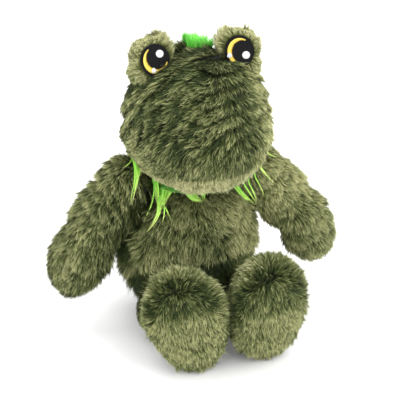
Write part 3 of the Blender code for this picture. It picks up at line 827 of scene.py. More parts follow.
# painted shade on the toy's right side of the brow, away from the lamp
shaded_side = ramp(-p[:, 0], 10, 30) * ramp(-p[:, 0], 66, 52) * ramp(p[:, 2], 206, 226)
tint -= 0.10 * shaded_side * front[:, 0]
# painted shade in the recess round the base of the toy's right eye mound, on its outer side
tint -= 0.40 * ramp(depth(MOUND_FORM[-1], p), -7, -2) * ramp(-p[:, 0], 42, 52) * (p[:, 1] < -18)
lean = 60 + 6 * strong * gap
eye_dist = np.minimum(*[np.linalg.norm(p - np.array(EYES[s][0]), axis=1) for s in (1, -1)])
length = 12.0 - 2.5 * ramp(eye_dist, 30, 18) + strong * (1.0 * crest - 4.5 * gap)
length -= 4.0 * ramp(-p[:, 0], 48, 60) * ramp(p[:, 2], 190, 200) * ramp(p[:, 2], 240, 226)
length -= 2.5 * ramp(p[:, 0], 48, 60) * ramp(p[:, 2], 236, 222)
wide_low = ramp(np.abs(p[:, 0]), 44, 60) * ramp(p[:, 2], 214, 192)
length -= 5.0 * wide_low
length += 4.0 * ramp(p[:, 1], 0, 18) * ramp(p[:, 2], 192, 180)
lean += 8 * wide_low
near_lip = ramp(mouth_h[upper], 14, 0) * (p[:, 1] < -10)
length -= 5.0 * near_lip
length = np.maximum(length, 4.0)
crown = ramp(p[:, 2], 262, 270) * ramp(np.abs(p[:, 0] + 9), 11, 5) * ramp(p[:, 1], -26, -14)
lean -= 34 * crown
lean += 4 * near_lip
tint += 0.10 * near_lip + 0.10 * near_lip * ramp(mouth_h[upper], 6, 0)
for word, mask in (("front", p[:, 1] < HEAD_SEAM_Y), ("back", p[:, 1] >= HEAD_SEAM_Y)):
    grow(f"fur_head_{word}", p[mask], n[mask], comb[mask], length[mask], lean[mask], 0.72,
         tint[mask], "head", OLIVE, 210 + (word == "back"), paint=brow_shading_and_tone,
         swirl=0.45 * (1 - 0.6 * strong[mask]), rough=1 - 0.45 * strong[mask], avoid=[TORSO], per=2.4)
chin = (mouth_h <= 0) & ~hidden
p, n = root[chin], nrm[chin]
comb = rows((0, 0.2, -1), len(p)) + 0.25 * np.stack([np.sign(p[:, 0]), 0 * p[:, 0], 0 * p[:, 0]], 1)
tint = 0.70 + 0.10 * clouds(p, 12, 31) + 0.08 * clouds(p, 5, 32) + 0.05 * ramp(p[:, 2], 158, 172)
tint -= 0.16 * ramp(np.abs(p[:, 0]), 30, 56)
lip = ramp((-mouth_h)[chin], 10, 1) * ramp(p[:, 1], -40, -60)
rise = ramp(-p[:, 0], 14, 36)
grow("fur_chin", p, n, comb, 10.5 - 2.5 * lip - 5.0 * rise - 3.0 * ramp(p[:, 0], 40, 58), 44 + 8 * lip + 12 * rise, 0.52, tint, "head", PALE, 230, swirl=0.3,
     avoid=[TORSO], per=2.4, clump=1.8, pull=0.4, rough=0.6, mottle=0.6)

# ------------------------------------------------------------------ eye mounds and eyes
EYE_ART = {-1: dict(turn=234, big=(4.8, 5.7, 3.7), small=(-2.6, -9.6, 2.4)),
           1: dict(turn=170, big=(6.2, -3.9, 3.7), small=(-10.3, -3.3, 2.4))}
for side, word in SIDES:
    face_at, right, up, out, mid = EYES[side]
    o, m3 = np.array(out), np.array(mid)

    def flattened(q):
        over = (q - m3) @ o - MOUND_FLAT
        return q - o * np.maximum(over, 0)[:, None]

    form = MOUND_FORM[side]
    pts, faces = surface(form, 64, 44, shape=flattened)
    inner, in_faces = surface(form, 40, 28, shape=flattened, inset=0.4)
    sunk = (Vector(mid) - head_mid).normalized()
    base = head_mid + sunk * float(reach(HEAD, np.array([sunk[:]]))[0])
    skin(f"skin_mound_{word}", inner, in_faces, [(base - sunk * 2.5, sunk)], "head", SKIN_PALE,
         [f"eye_mound_{word}"], thick=1.0)
    rng = np.random.default_rng(301 + side)
    root, nrm = scatter(pts, faces, 3.6, rng)
    rel = root - np.array(face_at)
    over = rel @ o
    tall = rel @ np.array(up)
    across = np.hypot(rel @ np.array(right), tall / EYE_HIGH)
    ok = ~((across < EYE_R - 0.6) & (over > -3)) & (depth(HEAD, root) < 2.0)
    root, nrm, across = root[ok], nrm[ok], across[ok]
    rel = root - np.array(face_at)
    comb = unit(rel) + 0.4 * UP + 0.25 * unit(root - m3)
    rim = ramp(across, EYE_R + 5, EYE_R)
    tint = 0.66 + 0.14 * clouds(root, 9, 41 + side) + 0.12 * clouds(root, 4, 43) - 0.16 * rim
    # painted light and shade: the toy's left mound a little paler, each mound darker low down by its base and paler on
    # its top
    tint += 0.05 * side - 0.22 * ramp(root[:, 2], 276, 268) + 0.12 * ramp(root[:, 2], 288, 298)
    inward = ramp(-side * (root[:, 0] - mid.x), 0, 14)
    crown = ramp(root[:, 2], 294, 304)
    length = 9.0 - 2.5 * rim - 2.0 * crown * (1 - inward) + (5.0 if side < 0 else 4.5) * inward * ramp(root[:, 2], 284, 296)
    if side < 0:
        length = np.maximum(length - 3.5 * ramp(root[:, 2], 280, 292) * (1 - inward), 4.0)
    lean = 46 - 6 * rim + 28 * crown * (1 - 0.8 * inward) + (10 * (1 - inward) if side < 0 else 0)
    comb = comb + rows((-side, 0, 0.6), len(root)) * (0.5 * inward * crown)[:, None]
    grow(f"fur_mound_{word}", root, nrm, comb, length, lean, 0.6, tint,
         "head", PALE, 310 + side, swirl=0.6, per=3.6, clump=1.8, pull=0.55, lock=6.5,
         rough=1.1, mottle=0.8)
    if side > 0:
        # a wisp that stands up on the crown of the left mound
        wisp = np.linalg.norm(root - np.array((51.5, -21.0, 303.5)), axis=1) < 2.8
        grow(f"wisp_mound_{word}", root[wisp], nrm[wisp], comb[wisp] + UP, np.full(int(wisp.sum()), 9.0), 8, 0.6,
             tint[wisp], "head", PALE, 316, swirl=0.2, per=3.6, clump=4, pull=0.8, rough=0.4)

    # embroidered eye: black ground with a rolled edge, then the stitched fields
    def on_eye(x, y, h):
        return (face_at + right * x + up * y + out * h) * MM

    bm = bmesh.new()
    prof = [(EYE_R - 0.9, 0.05), (EYE_R, 0.15), (EYE_R + 0.1, 0.55), (EYE_R - 0.35, 1.0),
            (EYE_R - 1.0, 1.12), (EYE_R - 1.5, 1.0), (EYE_R - 2.2, 1.05), (10.5, 1.22),
            (7, 1.36), (3.5, 1.44)]
    prev = first = None
    for r, h in prof:
        ring_v = []
        for i in range(96):
            a = 2 * math.pi * i / 96
            rr = r + (0.12 * math.sin(a * 48) if EYE_R - 1.2 < r else 0)
            ring_v.append(bm.verts.new(on_eye(rr * math.cos(a), rr * math.sin(a) * EYE_HIGH, h)))
        if prev:
            for i in range(96):
                k = (i + 1) % 96
                bm.faces.new((prev[i], prev[k], ring_v[k], ring_v[i]))
        else:
            first = ring_v
        prev = ring_v
    tip = bm.verts.new(on_eye(0, 0, 1.46))
    for i in range(96):
        bm.faces.new((prev[i], prev[(i + 1) % 96], tip))
    bm.faces.new(list(reversed(first)))
    bmesh.ops.recalc_face_normals(bm, faces=bm.faces)
    mesh = bpy.data.meshes.new(f"eye_ground_{word}")
    bm.to_mesh(mesh)
    bm.free()
    mesh.shade_smooth()
    ob = link(mesh.name, mesh, "head", EYE_BLACK)
    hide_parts(f"eye_patch_{word}")

    art = EYE_ART[side]
    # iris: a crescent of amber thread, its inner edge toothed by the stitches
    r_out, r_in, shift, half, steps = 12.1, 10.9, 2.7, 114, 150
    bm = bmesh.new()
    uvl = bm.loops.layers.uv.new("OFBake")
    cols = []
    rng = np.random.default_rng(330 + side)
    for i in range(steps + 1):
        b = math.radians(-half + 2 * half * i / steps)
        s = shift * math.cos(b)
        r = -s + math.sqrt(s * s + r_in ** 2 - shift ** 2)
        r = min(r - (0.65 if i % 2 else -0.25) - 0.45 * rng.random(), r_out - 0.3)
        t = b + math.radians(art["turn"])
        col = []
        for f in (0.0, 0.18, 0.5, 0.82, 1.0):
            rr = r + (r_out - r) * f
            h = 1.30 + 0.42 * math.sin(math.pi * min(max(f, 0.04), 0.96)) ** 0.6
            col.append((bm.verts.new(on_eye(rr * math.cos(t), rr * math.sin(t) * EYE_HIGH, h)), f, i / steps))
        cols.append(col)
    for a, b in zip(cols, cols[1:]):
        for k in range(4):
            quad = (a[k], a[k + 1], b[k + 1], b[k])
            fc = bm.faces.new([q[0] for q in quad])
            for lp, q in zip(fc.loops, quad):
                lp[uvl].uv = (0.03 + 0.94 * q[1], 0.02 + 0.96 * q[2])
    bmesh.ops.recalc_face_normals(bm, faces=bm.faces)
    bm.normal_update()
    if sum(f.normal.dot(out) for f in bm.faces) < 0:
        bmesh.ops.reverse_faces(bm, faces=bm.faces)
    mesh = bpy.data.meshes.new(f"eye_crescent_{word}")
    bm.to_mesh(mesh)
    bm.free()
    mesh.shade_smooth()
    ob = link(mesh.name, mesh, "head", EYE_AMBER)
    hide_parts(f"eye_iris_{word}")

    for key, node, lift in (("big", "large", 1.35), ("small", "small", 1.7)):
        x0, y0, r0 = art[key]
        bm = bmesh.new()
        prev = None
        for f, h in ((1.0, 0.0), (1.03, 0.25), (0.93, 0.5), (0.7, 0.66), (0.35, 0.74)):
            ring_v = []
            for i in range(40):
                a = 2 * math.pi * i / 40
                k = 1 + 0.035 * math.sin(a * 13 + x0) + (0.10 * math.cos(3 * a + 1.2) if key == "small" else 0.02 * math.cos(2 * a))
                ring_v.append(bm.verts.new(on_eye(x0 + r0 * f * k * math.cos(a),
                                                  y0 + r0 * f * k * math.sin(a), lift + h)))
            if prev:
                for i in range(40):
                    k = (i + 1) % 40
                    bm.faces.new((prev[i], prev[k], ring_v[k], ring_v[i]))
            else:
                bm.faces.new(list(reversed(ring_v)))
            prev = ring_v
        bm.faces.new(prev)
        bmesh.ops.recalc_face_normals(bm, faces=bm.faces)
        mesh = bpy.data.meshes.new(f"eye_shine_{node}_{word}")
        bm.to_mesh(mesh)
        bm.free()
        mesh.shade_smooth()
        ob = link(mesh.name, mesh, "head", EYE_WHITE)
        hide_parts(f"eye_highlight_{node}_{word}")

# ------------------------------------------------------------------ arms
for side, word in SIDES:
    form = ARM_FORM[side]
    along, face = ARM_ALONG[side]
    body = f"arm_{word}"
    pts, faces = surface(form, 84, 72, pole=along)
    inner, in_faces = surface(form, 48, 42, pole=along, inset=0.4)
    at = Vector(form["at"])
    for half_word, sign in (("front", 1), ("back", -1)):
        skin(f"skin_arm_{half_word}_{word}", inner, in_faces, [(at + face * sign * 0.3, face * sign)],
             body, SKIN_OLIVE, [f"arm_{half_word}_panel_{word}"])
    rng = np.random.default_rng(401 + side)
    root, nrm = scatter(pts, faces, 2.1, rng)
    ok = ~buried(root, [TORSO, HEAD], 6)
    root, nrm = root[ok], nrm[ok]
    a3, f3 = np.array(along), np.array(face)
    pivot = np.array(flip(SHOULDER, side))
    down_arm = (root - pivot) @ a3
    comb = rows(along, len(root)) + 0.25 * DOWN
    # folds across the top of the arm, where it hangs from the shoulder
    at3 = np.array(form["at"])

    def arm_folds(q):
        down = (q - pivot) @ a3
        wander = 1.8 * clouds(q, 18, 51 + side)
        at = np.mod((0.4 * down + 0.76 * side * (q[:, 0] - at3[0]) + wander + 3.0) / 11.0, 1)
        force = ramp(down, -20, -8) * ramp(down, 46, 30) * (1.0 if side < 0 else 0.22)
        return np.clip(force * (0.9 + 0.5 * clouds(q, 15, 52)), 0, 1.1), at

    def arm_shading_and_tone(q):
        force, at = arm_folds(q)
        # painted highlight on each fold's crest and painted shade in the gap beside it; the clouds are the pile's own
        # uneven tone
        pale = ramp(at, 0.50, 0.80) * ramp(at, 1.0, 0.96)
        dark = ramp(at, 0.44, 0.30)
        return (force * (0.20 * pale - 0.66 * dark) + 0.17 * clouds(q, 16, 53 + side)
                + 0.12 * clouds(q, 6, 54))

    strong, saw = arm_folds(root)
    gap = ramp(saw, 0.42, 0.20)
    crest = ramp(saw, 0.50, 0.80) * ramp(saw, 1.0, 0.96)
    root = root + nrm * (2.6 * strong * saw - 1.0 * strong)[:, None]
    tint = np.full(len(root), 0.40) + 0.05 * strong
    # painted light: the toy's left arm is paler, most on its upper part, where the lamp falls; the toy's right arm a
    # little paler high up; the front face paler than the back
    tint += (0.14 + 0.46 * ramp(down_arm, 55, 20)) * (side > 0) - 0.03 * (side < 0) + 0.06 * ramp(down_arm, 40, 10) * (side < 0)
    tint += 0.10 * (root - np.array(form["at"])) @ f3 / 20
    across = (root - np.array(form["at"])) @ np.array(spread_dir(side))
    # painted shade: a dark line along the arm where a groove falls in shade
    groove_shade = np.exp(-((across + 13 + 2.5 * clouds(root, 14, 57)) / 3.5) ** 2) * ramp(down_arm, 30, 50)
    tint -= (0.30 if side < 0 else 0.15) * groove_shade
    if side < 0:
        # painted shade on the inner side of the toy's right arm, next to the body, and painted light on its shoulder
        # top
        tint -= 0.55 * ramp(across, -2, -12) * ramp(down_arm, 50, 30)
        tint += 0.26 * ramp(down_arm, 20, 5) * ramp(across, -10, -4)
    outward = ramp(across, 8, 22)
    tint += 0.14 * outward
    hand = ramp(down_arm, 88, 104)
    length = 12.5 + 1.0 * outward + (1.5 if side > 0 else -1.5) * hand + (2.5 if side < 0 else 0) * ramp(across, -10, -18) + strong * (1.0 * crest - 4.0 * gap)
    length -= 1.5 * ramp(down_arm, 30, 10)
    for half_word, mask in (("front", (root - np.array(at)) @ f3 > 0), ("back", (root - np.array(at)) @ f3 <= 0)):
        grow(f"fur_arm_{half_word}_{word}", root[mask], nrm[mask], comb[mask], length[mask],
             (55 + 6 * strong * gap)[mask], 0.7, tint[mask], body, OLIVE,
             410 + side * 2 + (half_word == "back"), swirl=0.4, mottle=1.12, avoid=[TORSO, HEAD],
             paint=arm_shading_and_tone)

# ------------------------------------------------------------------ legs and feet
for side, word in SIDES:
    form = LEG_FORM[side]
    hip, ankle = flip(HIP, side), flip(ANKLE, side)
    along = (ankle - hip).normalized()
    body = f"leg_{word}"
    pts, faces = surface(form, 64, 44, pole=along)
    inner, in_faces = surface(form, 40, 28, pole=along, inset=0.4)
    at = Vector(form["at"])
    for half_word, sign in (("top", 1), ("under", -1)):
        skin(f"skin_leg_{half_word}_{word}", inner, in_faces,
             [(at + Vector((0, 0, 0.3 * sign)), (0, 0, sign))], body, SKIN_OLIVE,
             [f"leg_{half_word}_panel_{word}"])
    rng = np.random.default_rng(501 + side)
    root, nrm = scatter(pts, faces, 2.0, rng)
    ok = ~buried(root, [TORSO, FOOT_FORM[side]], 6)
    root, nrm = root[ok], nrm[ok]
    comb = rows(along, len(root)) + 0.5 * DOWN
    # painted shade: the legs are near black where they sit in the gap under the belly and between the feet, less so on
    # their outer sides and low down
    tint = 0.04 + (0.34 if side > 0 else 0.12) * ramp(side * root[:, 0], 44, 58) + 0.16 * ramp(root[:, 2], 44, 24) + 0.12 * clouds(root, 14, 61)
    low = ramp(root[:, 2], 24, 4)
    grow(f"fur_leg_{word}", root, nrm, comb, 14.0 - 3.5 * low - (8.0 if side < 0 else 5.0) * ramp(side * root[:, 0], 50, 60), 46 + 8 * low,
         0.75, tint, body, OLIVE,
         510 + side, per=2.0, avoid=[TORSO, FOOT_FORM[side]],
         mottle=0.25 + 0.75 * ramp(side * root[:, 0], 44, 58))

    form = FOOT_FORM[side]
    sole, long_dir, wide_dir = FOOT_DIRS[side]
    s3, l3, w3 = np.array(sole), np.array(long_dir), np.array(wide_dir)
    body = f"foot_{word}"
    pts, faces = surface(form, 96, 56, pole=sole)
    inner, in_faces = surface(form, 56, 36, pole=sole, inset=0.4)
    mid = Vector(form["at"])
    seam = mid + sole * 7
    skin(f"skin_foot_sole_{word}", inner, in_faces, [(seam + sole * 0.3, sole)], body, SKIN_OLIVE,
         [f"foot_sole_{word}"])
    skin(f"skin_foot_upper_{word}", inner, in_faces, [(seam - sole * 0.3, -sole)], body, SKIN_PALE,
         [f"foot_upper_{word}"])
    rng = np.random.default_rng(601 + side)
    root, nrm = scatter(pts, faces, 2.6, rng)
    ok = ~buried(root, [LEG_FORM[side], TORSO], 5)
    root, nrm = root[ok], nrm[ok]
    rel = root - np.array(mid)
    over = (root - np.array(seam)) @ s3
    high = rel @ l3 / FOOT_R[2]
    radial = unit(w3 * (rel @ w3)[:, None] / FOOT_R[0] ** 2 + l3 * (rel @ l3)[:, None] / FOOT_R[2] ** 2)
    low = ramp(root[:, 2], 20, 5)
    # sole: short pile combed to the heel, dark under a pale rim that is combed outwards
    m = over > 0
    between = ramp(side * root[:, 0], 13, 4)
    rad = np.hypot((rel @ w3) / FOOT_R[0], high)[m]
    above = ramp(high[m], -0.15, 0.35)
    edge = ramp(rad + 0.03 * clouds(root[m], 12, 75), 0.68, 0.96) * above
    upright = np.exp(-((edge - 0.42) / 0.30) ** 2)
    comb = (-l3 * (1.0 - edge)[:, None] + radial[m] * (0.10 + 1.2 * edge)[:, None]
            + s3 * (0.5 * low[m])[:, None])

    def sole_paint(q):
        at = q - np.array(mid)
        up_q = at @ l3 / FOOT_R[2]
        far_q = np.hypot(at @ w3 / FOOT_R[0], up_q)
        wander = 0.10 * clouds(q, 14, 76)
        dark = ramp(up_q + wander, *((0.26, 0.52) if side < 0 else (0.02, 0.52)))
        rim = ramp(far_q + 0.03 * clouds(q, 6, 77), *((1.09, 1.18) if side < 0 else (1.13, 1.22)))
        return -0.50 * dark * (1 - 0.6 * rim) + 0.13 * clouds(q, 15, 71 + side) + 0.10 * clouds(q, 6, 72)

    # painted shade: darker low down by the floor and in the gap between the feet
    tint = 0.67 - 0.08 * ramp(root[m, 2], 22, 6) - 0.7 * between[m]
    grow(f"fur_sole_{word}", root[m], nrm[m], comb, 10.5 + 1.0 * low[m] - 1.0 * upright - 3.0 * between[m],
         60 - 36 * upright, 0.66, tint, body, OLIVE, 610 + side, swirl=0.4, rough=0.9,
         mottle=1.1 - 0.6 * between[m] - 0.3 * ramp(high[m], 0.1, 0.4), avoid=[FOOT_FORM[-side]], paint=sole_paint)
    # upper, with the pale rim that stands round the sole
    m = ~m
    outer = ramp((rel[m] @ w3) * side / FOOT_R[0], 0.5, 0.85) * ramp(high[m], 0.3, -0.1)
    edge = ramp(over[m], -14, -1)
    comb = radial[m] * 0.5 + s3 * (0.10 * edge)[:, None] - s3 * (0.45 * (1 - edge))[:, None] + DOWN * (0.6 * (1 - edge))[:, None]
    tint = 0.07 + 0.13 * clouds(root[m], 13, 73 + side) + 0.10 * clouds(root[m], 5, 74) + 0.08 * edge * ramp(high[m], 0, 0.7)
    # painted shade in the gap between the feet
    tint -= 0.5 * between[m]
    grow(f"fur_upper_{word}", root[m], nrm[m], comb, 11.0 - 1.5 * edge - 4.0 * low[m] - 4.5 * between[m] - (4.5 if side < 0 else 2.0) * outer,
         46 - 12 * edge, 0.62, tint, body, PALE, 620 + side, swirl=0.35,
         mottle=1 - 0.5 * between[m], avoid=[FOOT_FORM[-side], LEG_FORM[side]])

# ------------------------------------------------------------------ tuft on the crown
around = []
for off in (Vector((0, 0, 0)), Vector((0.01, 0, 0)), Vector((0, 0.01, 0))):
    d = ((TUFT_TO - head_mid).normalized() + off).normalized()
    around.append(head_mid + d * float(reach(HEAD, np.array([d[:]]))[0]))
foot = around[0]
out = (around[1] - foot).cross(around[2] - foot).normalized()
out = out if out.z > 0 else -out
tilt = Vector((0, 0, 1)).rotation_difference(out).to_matrix()
tilt3 = np.array(tilt)
rng = np.random.default_rng(701)
count = int(2000 * THIN)
ang, rad = rng.uniform(0, 2 * math.pi, count), np.sqrt(rng.random(count))
x, y = 11.5 * rad * np.cos(ang), 5.5 * rad * np.sin(ang)
root = np.array(foot) + np.stack([x, y, -0.008 * x * x], 1) @ tilt3.T
nrm = unit(np.stack([x / 30, y / 14 - 0.32, np.ones(count)], 1) @ tilt3.T)
comb = np.stack([0.6 * np.tanh(x / 6) + 0.5 * rng.normal(size=count), 0.5 * rng.normal(size=count), 0 * x], 1)
length = rng.uniform(14, 19.5, count) + 3.0 * ramp(-x, 0, 8) - 4.0 * rad ** 3
spike = (rng.random(count) > 0.93) | (np.hypot(x - 4.5, y) < 1.2)
length = np.where(spike, length + 6, length)
tint = 0.62 + 0.22 * clouds(root, 5, 81)
made = grow("tuft_locks", root, nrm, comb, length, 9, 0.8, tint, "head", NEON, 710,
            per=count / THIN / 200, clump=3.6, pull=0.5, swirl=0.5, steps=4, bend=16)
bm = bmesh.new()
bmesh.ops.create_uvsphere(bm, u_segments=28, v_segments=14, radius=1.0)
for v in bm.verts:
    v.co = (foot + tilt @ Vector((v.co.x * 11.6, v.co.y * 5.8, v.co.z * (10.0 if v.co.z > 0 else 2.0)))) * MM
mesh = bpy.data.meshes.new("tuft_root")
bm.to_mesh(mesh)
bm.free()
mesh.shade_smooth()
ob = link("tuft_root", mesh, "head", SKIN_GREEN)
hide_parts("head_tuft")

# ------------------------------------------------------------------ ruff of long locks
az, el = math.radians(CAM_AZ), math.radians(CAM_EL)
back = Vector((math.sin(az) * math.cos(el), -math.cos(az) * math.cos(el), math.sin(el)))
eye_at = CAM_AIM + back * CAM_FAR
cam_right = Vector((math.cos(az), math.sin(az), 0)).normalized()
cam_up = back.cross(cam_right).normalized()
SOLID = [TORSO, ARM_FORM[1], ARM_FORM[-1], LEG_FORM[1], LEG_FORM[-1]]


def swollen(form, by):
    return dict(at=form["at"], soft=form["soft"], rot=form.get("rot", np.eye(3)),
                parts=[(c, tuple(q + by for q in r), a) for c, r, a in form["parts"]])


def behind(px, py, lift):
    """The point of body or arm that a pixel of the picture shows, less the lift."""
    d = (-back * CAM_FAR + cam_right * (px - 200) + cam_up * (190 - py))
    d.normalize()
    t = np.linspace(CAM_FAR - 190, CAM_FAR + 130, 900)
    line = np.array(eye_at)[None, :] + t[:, None] * np.array(d)[None, :]
    inside = np.zeros(len(t), bool)
    for f in SOLID:
        inside |= depth(swollen(f, lift), line) > 0
    if not inside.any():
        # past the outline: as near the body as the ray comes
        k = int(np.argmax(np.max([depth(swollen(f, lift), line) for f in SOLID], 0)))
        return line[k]
    return line[int(np.argmax(inside))]


def smooth_path(points, n):
    """Catmull-Rom curve through the points, as n + 1 points of even parameter."""
    q = [2 * points[0] - points[1]] + list(points) + [2 * points[-1] - points[-2]]
    out = []
    for k in range(n + 1):
        t = (len(points) - 1) * k / n
        i = min(int(t), len(points) - 2)
        f = t - i
        a, b, c, d = q[i], q[i + 1], q[i + 2], q[i + 3]
        out.append(0.5 * (2 * b + (c - a) * f + (2 * a - 5 * b + 4 * c - d) * f * f
                          + (3 * b - a - 3 * c + d) * f ** 3))
    return np.array(out)


lock_lines, lock_sides, lock_tints, lock_widths = [], [], [], []
rng = np.random.default_rng(801)


def lock(guide, count, spread, taper, wide, tint, fray=1.0, least=0.5):
    """A lock: fibres that start side by side and meet in a few loose points."""
    g = smooth_path([np.array(q, float) for q in guide], 8)
    tang = unit(np.gradient(g, axis=0))
    across = unit(np.cross(tang, np.tile(np.array(back[:]), (9, 1))))
    proud = unit(np.cross(across, tang))
    tips = rng.normal(0, 1, (4, 2))
    for i in range(int(count)):
        u, v = rng.normal(0, 0.5), rng.normal(0, 0.35)
        tip = tips[rng.integers(4)]
        cut = rng.uniform(least, 1.06)
        s = np.linspace(0, 1, 9)
        wave = 0.5 * np.sin(s * rng.uniform(4, 8) + rng.uniform(0, 6)) * s * fray
        off = spread * ((1 - s) ** 0.7 * u + s * tip[0] * 0.42 * taper) + wave
        off_v = spread * 0.5 * ((1 - s) * v + s * tip[1] * 0.2) + 0.3 * wave
        line = g + across * off[:, None] + proud * off_v[:, None]
        line = np.stack([np.interp(s * min(1, cut), s, line[:, k]) for k in range(3)], 1)
        lock_lines.append(line)
        lock_sides.append(unit(across[4] + 0.5 * rng.normal() * proud[4]))
        lock_widths.append(1.5 * wide * rng.uniform(0.7, 1.25))
        lock_tints.append(tint + rng.normal(0, 0.14))


# in front: each lock as the picture shows it, root first
FRONT = [
    # pixels along the lock, fibres, spread, taper, width, tint
    ([(134, 152), (135, 160), (136, 172), (136, 184), (134, 193), (131, 203)], 15, 3.2, 0.35, 0.55, 0.66),
    ([(141, 154), (141, 162), (139, 174), (137, 184), (135, 192), (132, 200)], 13, 2.8, 0.35, 0.55, 0.56),
    ([(134, 154), (131, 162), (125, 167), (121, 171), (120, 175)], 3, 0.5, 0.9, 0.45, 0.95),
    ([(136, 158), (135, 176), (133, 190), (130, 200), (134, 206), (145, 211)], 3, 0.3, 0.6, 0.34, 0.50),
    ([(134, 149), (129, 153), (125, 154), (120, 151)], 3, 0.5, 0.8, 0.45, 1.0),
    ([(157, 174), (159, 186), (160, 198), (160, 209), (157, 218), (151, 226), (146, 233)], 24, 3.6, 0.38, 0.6, 0.80),
    ([(164, 177), (163, 190), (163, 200), (166, 208), (169, 214), (171, 221)], 9, 2.4, 0.4, 0.5, 0.70),
    ([(168, 178), (167, 188), (165, 197), (162, 206), (160, 212)], 28, 4.0, 0.5, 0.7, 0.56),
    ([(173, 180), (172, 188), (169, 195), (165, 203)], 24, 3.6, 0.6, 0.7, 0.50),
    ([(155, 175), (156, 186), (157, 197), (158, 207)], 24, 3.4, 0.6, 0.7, 0.58),
    ([(155, 180), (154, 194), (151, 206), (146, 216), (143, 222)], 4, 0.7, 0.8, 0.5, 0.85),
    ([(163, 192), (164, 206), (164, 215), (162, 225)], 4, 0.7, 0.8, 0.5, 0.70),
    ([(162, 181), (165, 188), (169, 194)], 26, 3.6, 0.9, 0.7, 0.45),
    ([(169, 184), (172, 190), (175, 194)], 22, 3.2, 0.9, 0.7, 0.36),
    ([(186, 186), (190, 195), (195, 200), (203, 202)], 34, 3.4, 0.7, 0.85, 0.45),
    ([(190, 187), (194, 194), (198, 199), (204, 200)], 34, 3.4, 0.7, 0.85, 0.45),
    ([(199, 188), (203, 194), (204, 198), (202, 202)], 22, 2.6, 0.7, 0.8, 0.42),
    ([(232, 178), (238, 188), (246, 197), (252, 202), (260, 206)], 18, 2.8, 0.45, 0.55, 0.90),
    ([(239, 176), (245, 186), (251, 195), (255, 201), (258, 206)], 9, 1.4, 0.7, 0.55, 0.75),
    ([(244, 173), (249, 184), (254, 194), (257, 203)], 7, 1.2, 0.8, 0.5, 0.80),
    ([(250, 168), (256, 179), (261, 188), (265, 198)], 6, 0.9, 0.8, 0.5, 0.85),
    ([(254, 161), (262, 170), (270, 179), (278, 186)], 11, 1.9, 0.45, 0.55, 0.95),
    ([(262, 149), (268, 153), (273, 156), (278, 158)], 5, 0.8, 0.8, 0.5, 0.95),
]
for pix, count, spread, taper, wide, tint in FRONT:
    n = len(pix)
    guide = [behind(px, py, 9.5) for px, py in pix]
    # the root lies in the neck seam
    a = math.atan2(guide[0][1] - NECK.y, guide[0][0] - NECK.x)
    seam_at = np.array((NECK.x + 33 * math.cos(a), NECK.y + 33 * math.sin(a), 155.5))
    guide = [seam_at] + guide
    lock(guide, count * max(THIN, 0.7), spread, taper, wide, tint)

# round the sides and the back: shorter locks that fall from the seam
for k in range(46):
    a = math.radians(-20 + 202 * (k + 0.6 * rng.random()) / 45)
    d = np.array((math.cos(a), math.sin(a), 0.0))
    fall = rng.uniform(16, 44)
    lean_to = rng.normal(0, 0.30)
    side_dir = np.array((-d[1], d[0], 0.0))
    guide = [np.array(NECK) + d * 32 + np.array((0, 0, 5.5))]
    for f in (0.25, 0.5, 0.75, 1.0):
        q = guide[0] + d * (9 + 15 * f) + side_dir * lean_to * 30 * f + np.array((0, 0, 2 - fall * f ** 1.2))
        for form in (TORSO, ARM_FORM[1], ARM_FORM[-1]):
            big = swollen(form, 7.5)
            for _ in range(14):
                if depth(big, q[None, :])[0] > 0:
                    q = q + (d * 0.9 + np.array((0, 0, 0.4))) * 1.2
        guide.append(q)
    lock(guide, 26 * max(THIN, 0.7), rng.uniform(3.4, 6.0), 1.2, 0.75, rng.uniform(0.35, 0.7))

line = np.array(lock_lines)
tint = np.array(lock_tints)
blades("ruff_locks", line, np.array(lock_sides), np.array(lock_widths), tint, "neck_ring", LOCK)

# short pile over the strip, up to the head behind, and down over the strip's outer edge
def ring_roots(count, r_lo, r_hi, rise=0.0):
    ang = rng.uniform(0, 2 * math.pi, int(count * THIN))
    rr = rng.uniform(r_lo, r_hi, len(ang))
    d = np.stack([np.cos(ang), np.sin(ang), 0 * ang], 1)
    q = np.array(NECK)[None, :] + d * rr[:, None]
    f = np.clip((rr - 31.4) / 10.2, 0, 1)
    q[:, 2] = 156.3 - 5.9 * f ** 1.4 + rise
    return q, d, np.maximum(ramp(q[:, 1], -8, -30), ramp(-q[:, 0], 12, 26) * ramp(q[:, 1], 12, -2))


# hide marks the front and the toy's right side, under the chin: in the three piles below, the pile there is shorter,
# and darker as painted shade
root, d, hide = ring_roots(4200, 31.6, 40.6)
grow("ruff_pile", root, unit(d * 0.6 + UP), d + 0.6 * DOWN, 10.0 - 5.5 * hide, 56 + 18 * hide, 0.7,
     0.34 + 0.2 * clouds(root, 9, 91) - 0.26 * hide, "neck_ring", LOCK, 820,
     per=1.6, clump=4, pull=0.5, swirl=0.6, avoid=[HEAD])
root, d, hide = ring_roots(2600, 28.6, 33.5, -1.0)
grow("ruff_collar", root, rows(UP, len(root)), d, 15.5 - 11.5 * hide, 14, 0.75,
     0.26 + 0.15 * clouds(root, 9, 92) - 0.10 * hide, "neck_ring", LOCK, 830,
     per=2.6, clump=4, pull=0.4, swirl=0.5, bend=14)
root, d, hide = ring_roots(2400, 38.5, 41.4, -0.5)
ok = (root[:, 0] > -16) | (root[:, 1] > 6)
root, d, hide = root[ok], d[ok], hide[ok]
grow("ruff_fringe", root, unit(d + 0.3 * UP), rows(DOWN, len(root)), 9.5 - 5 * hide, 52, 0.7,
     0.36 - 0.26 * hide + 0.2 * clouds(root, 9, 93), "neck_ring", LOCK, 840,
     per=2.6, clump=5, pull=0.5, swirl=0.5, bend=44, avoid=[TORSO, ARM_FORM[1], ARM_FORM[-1]])
bm = bmesh.new()
prev = None
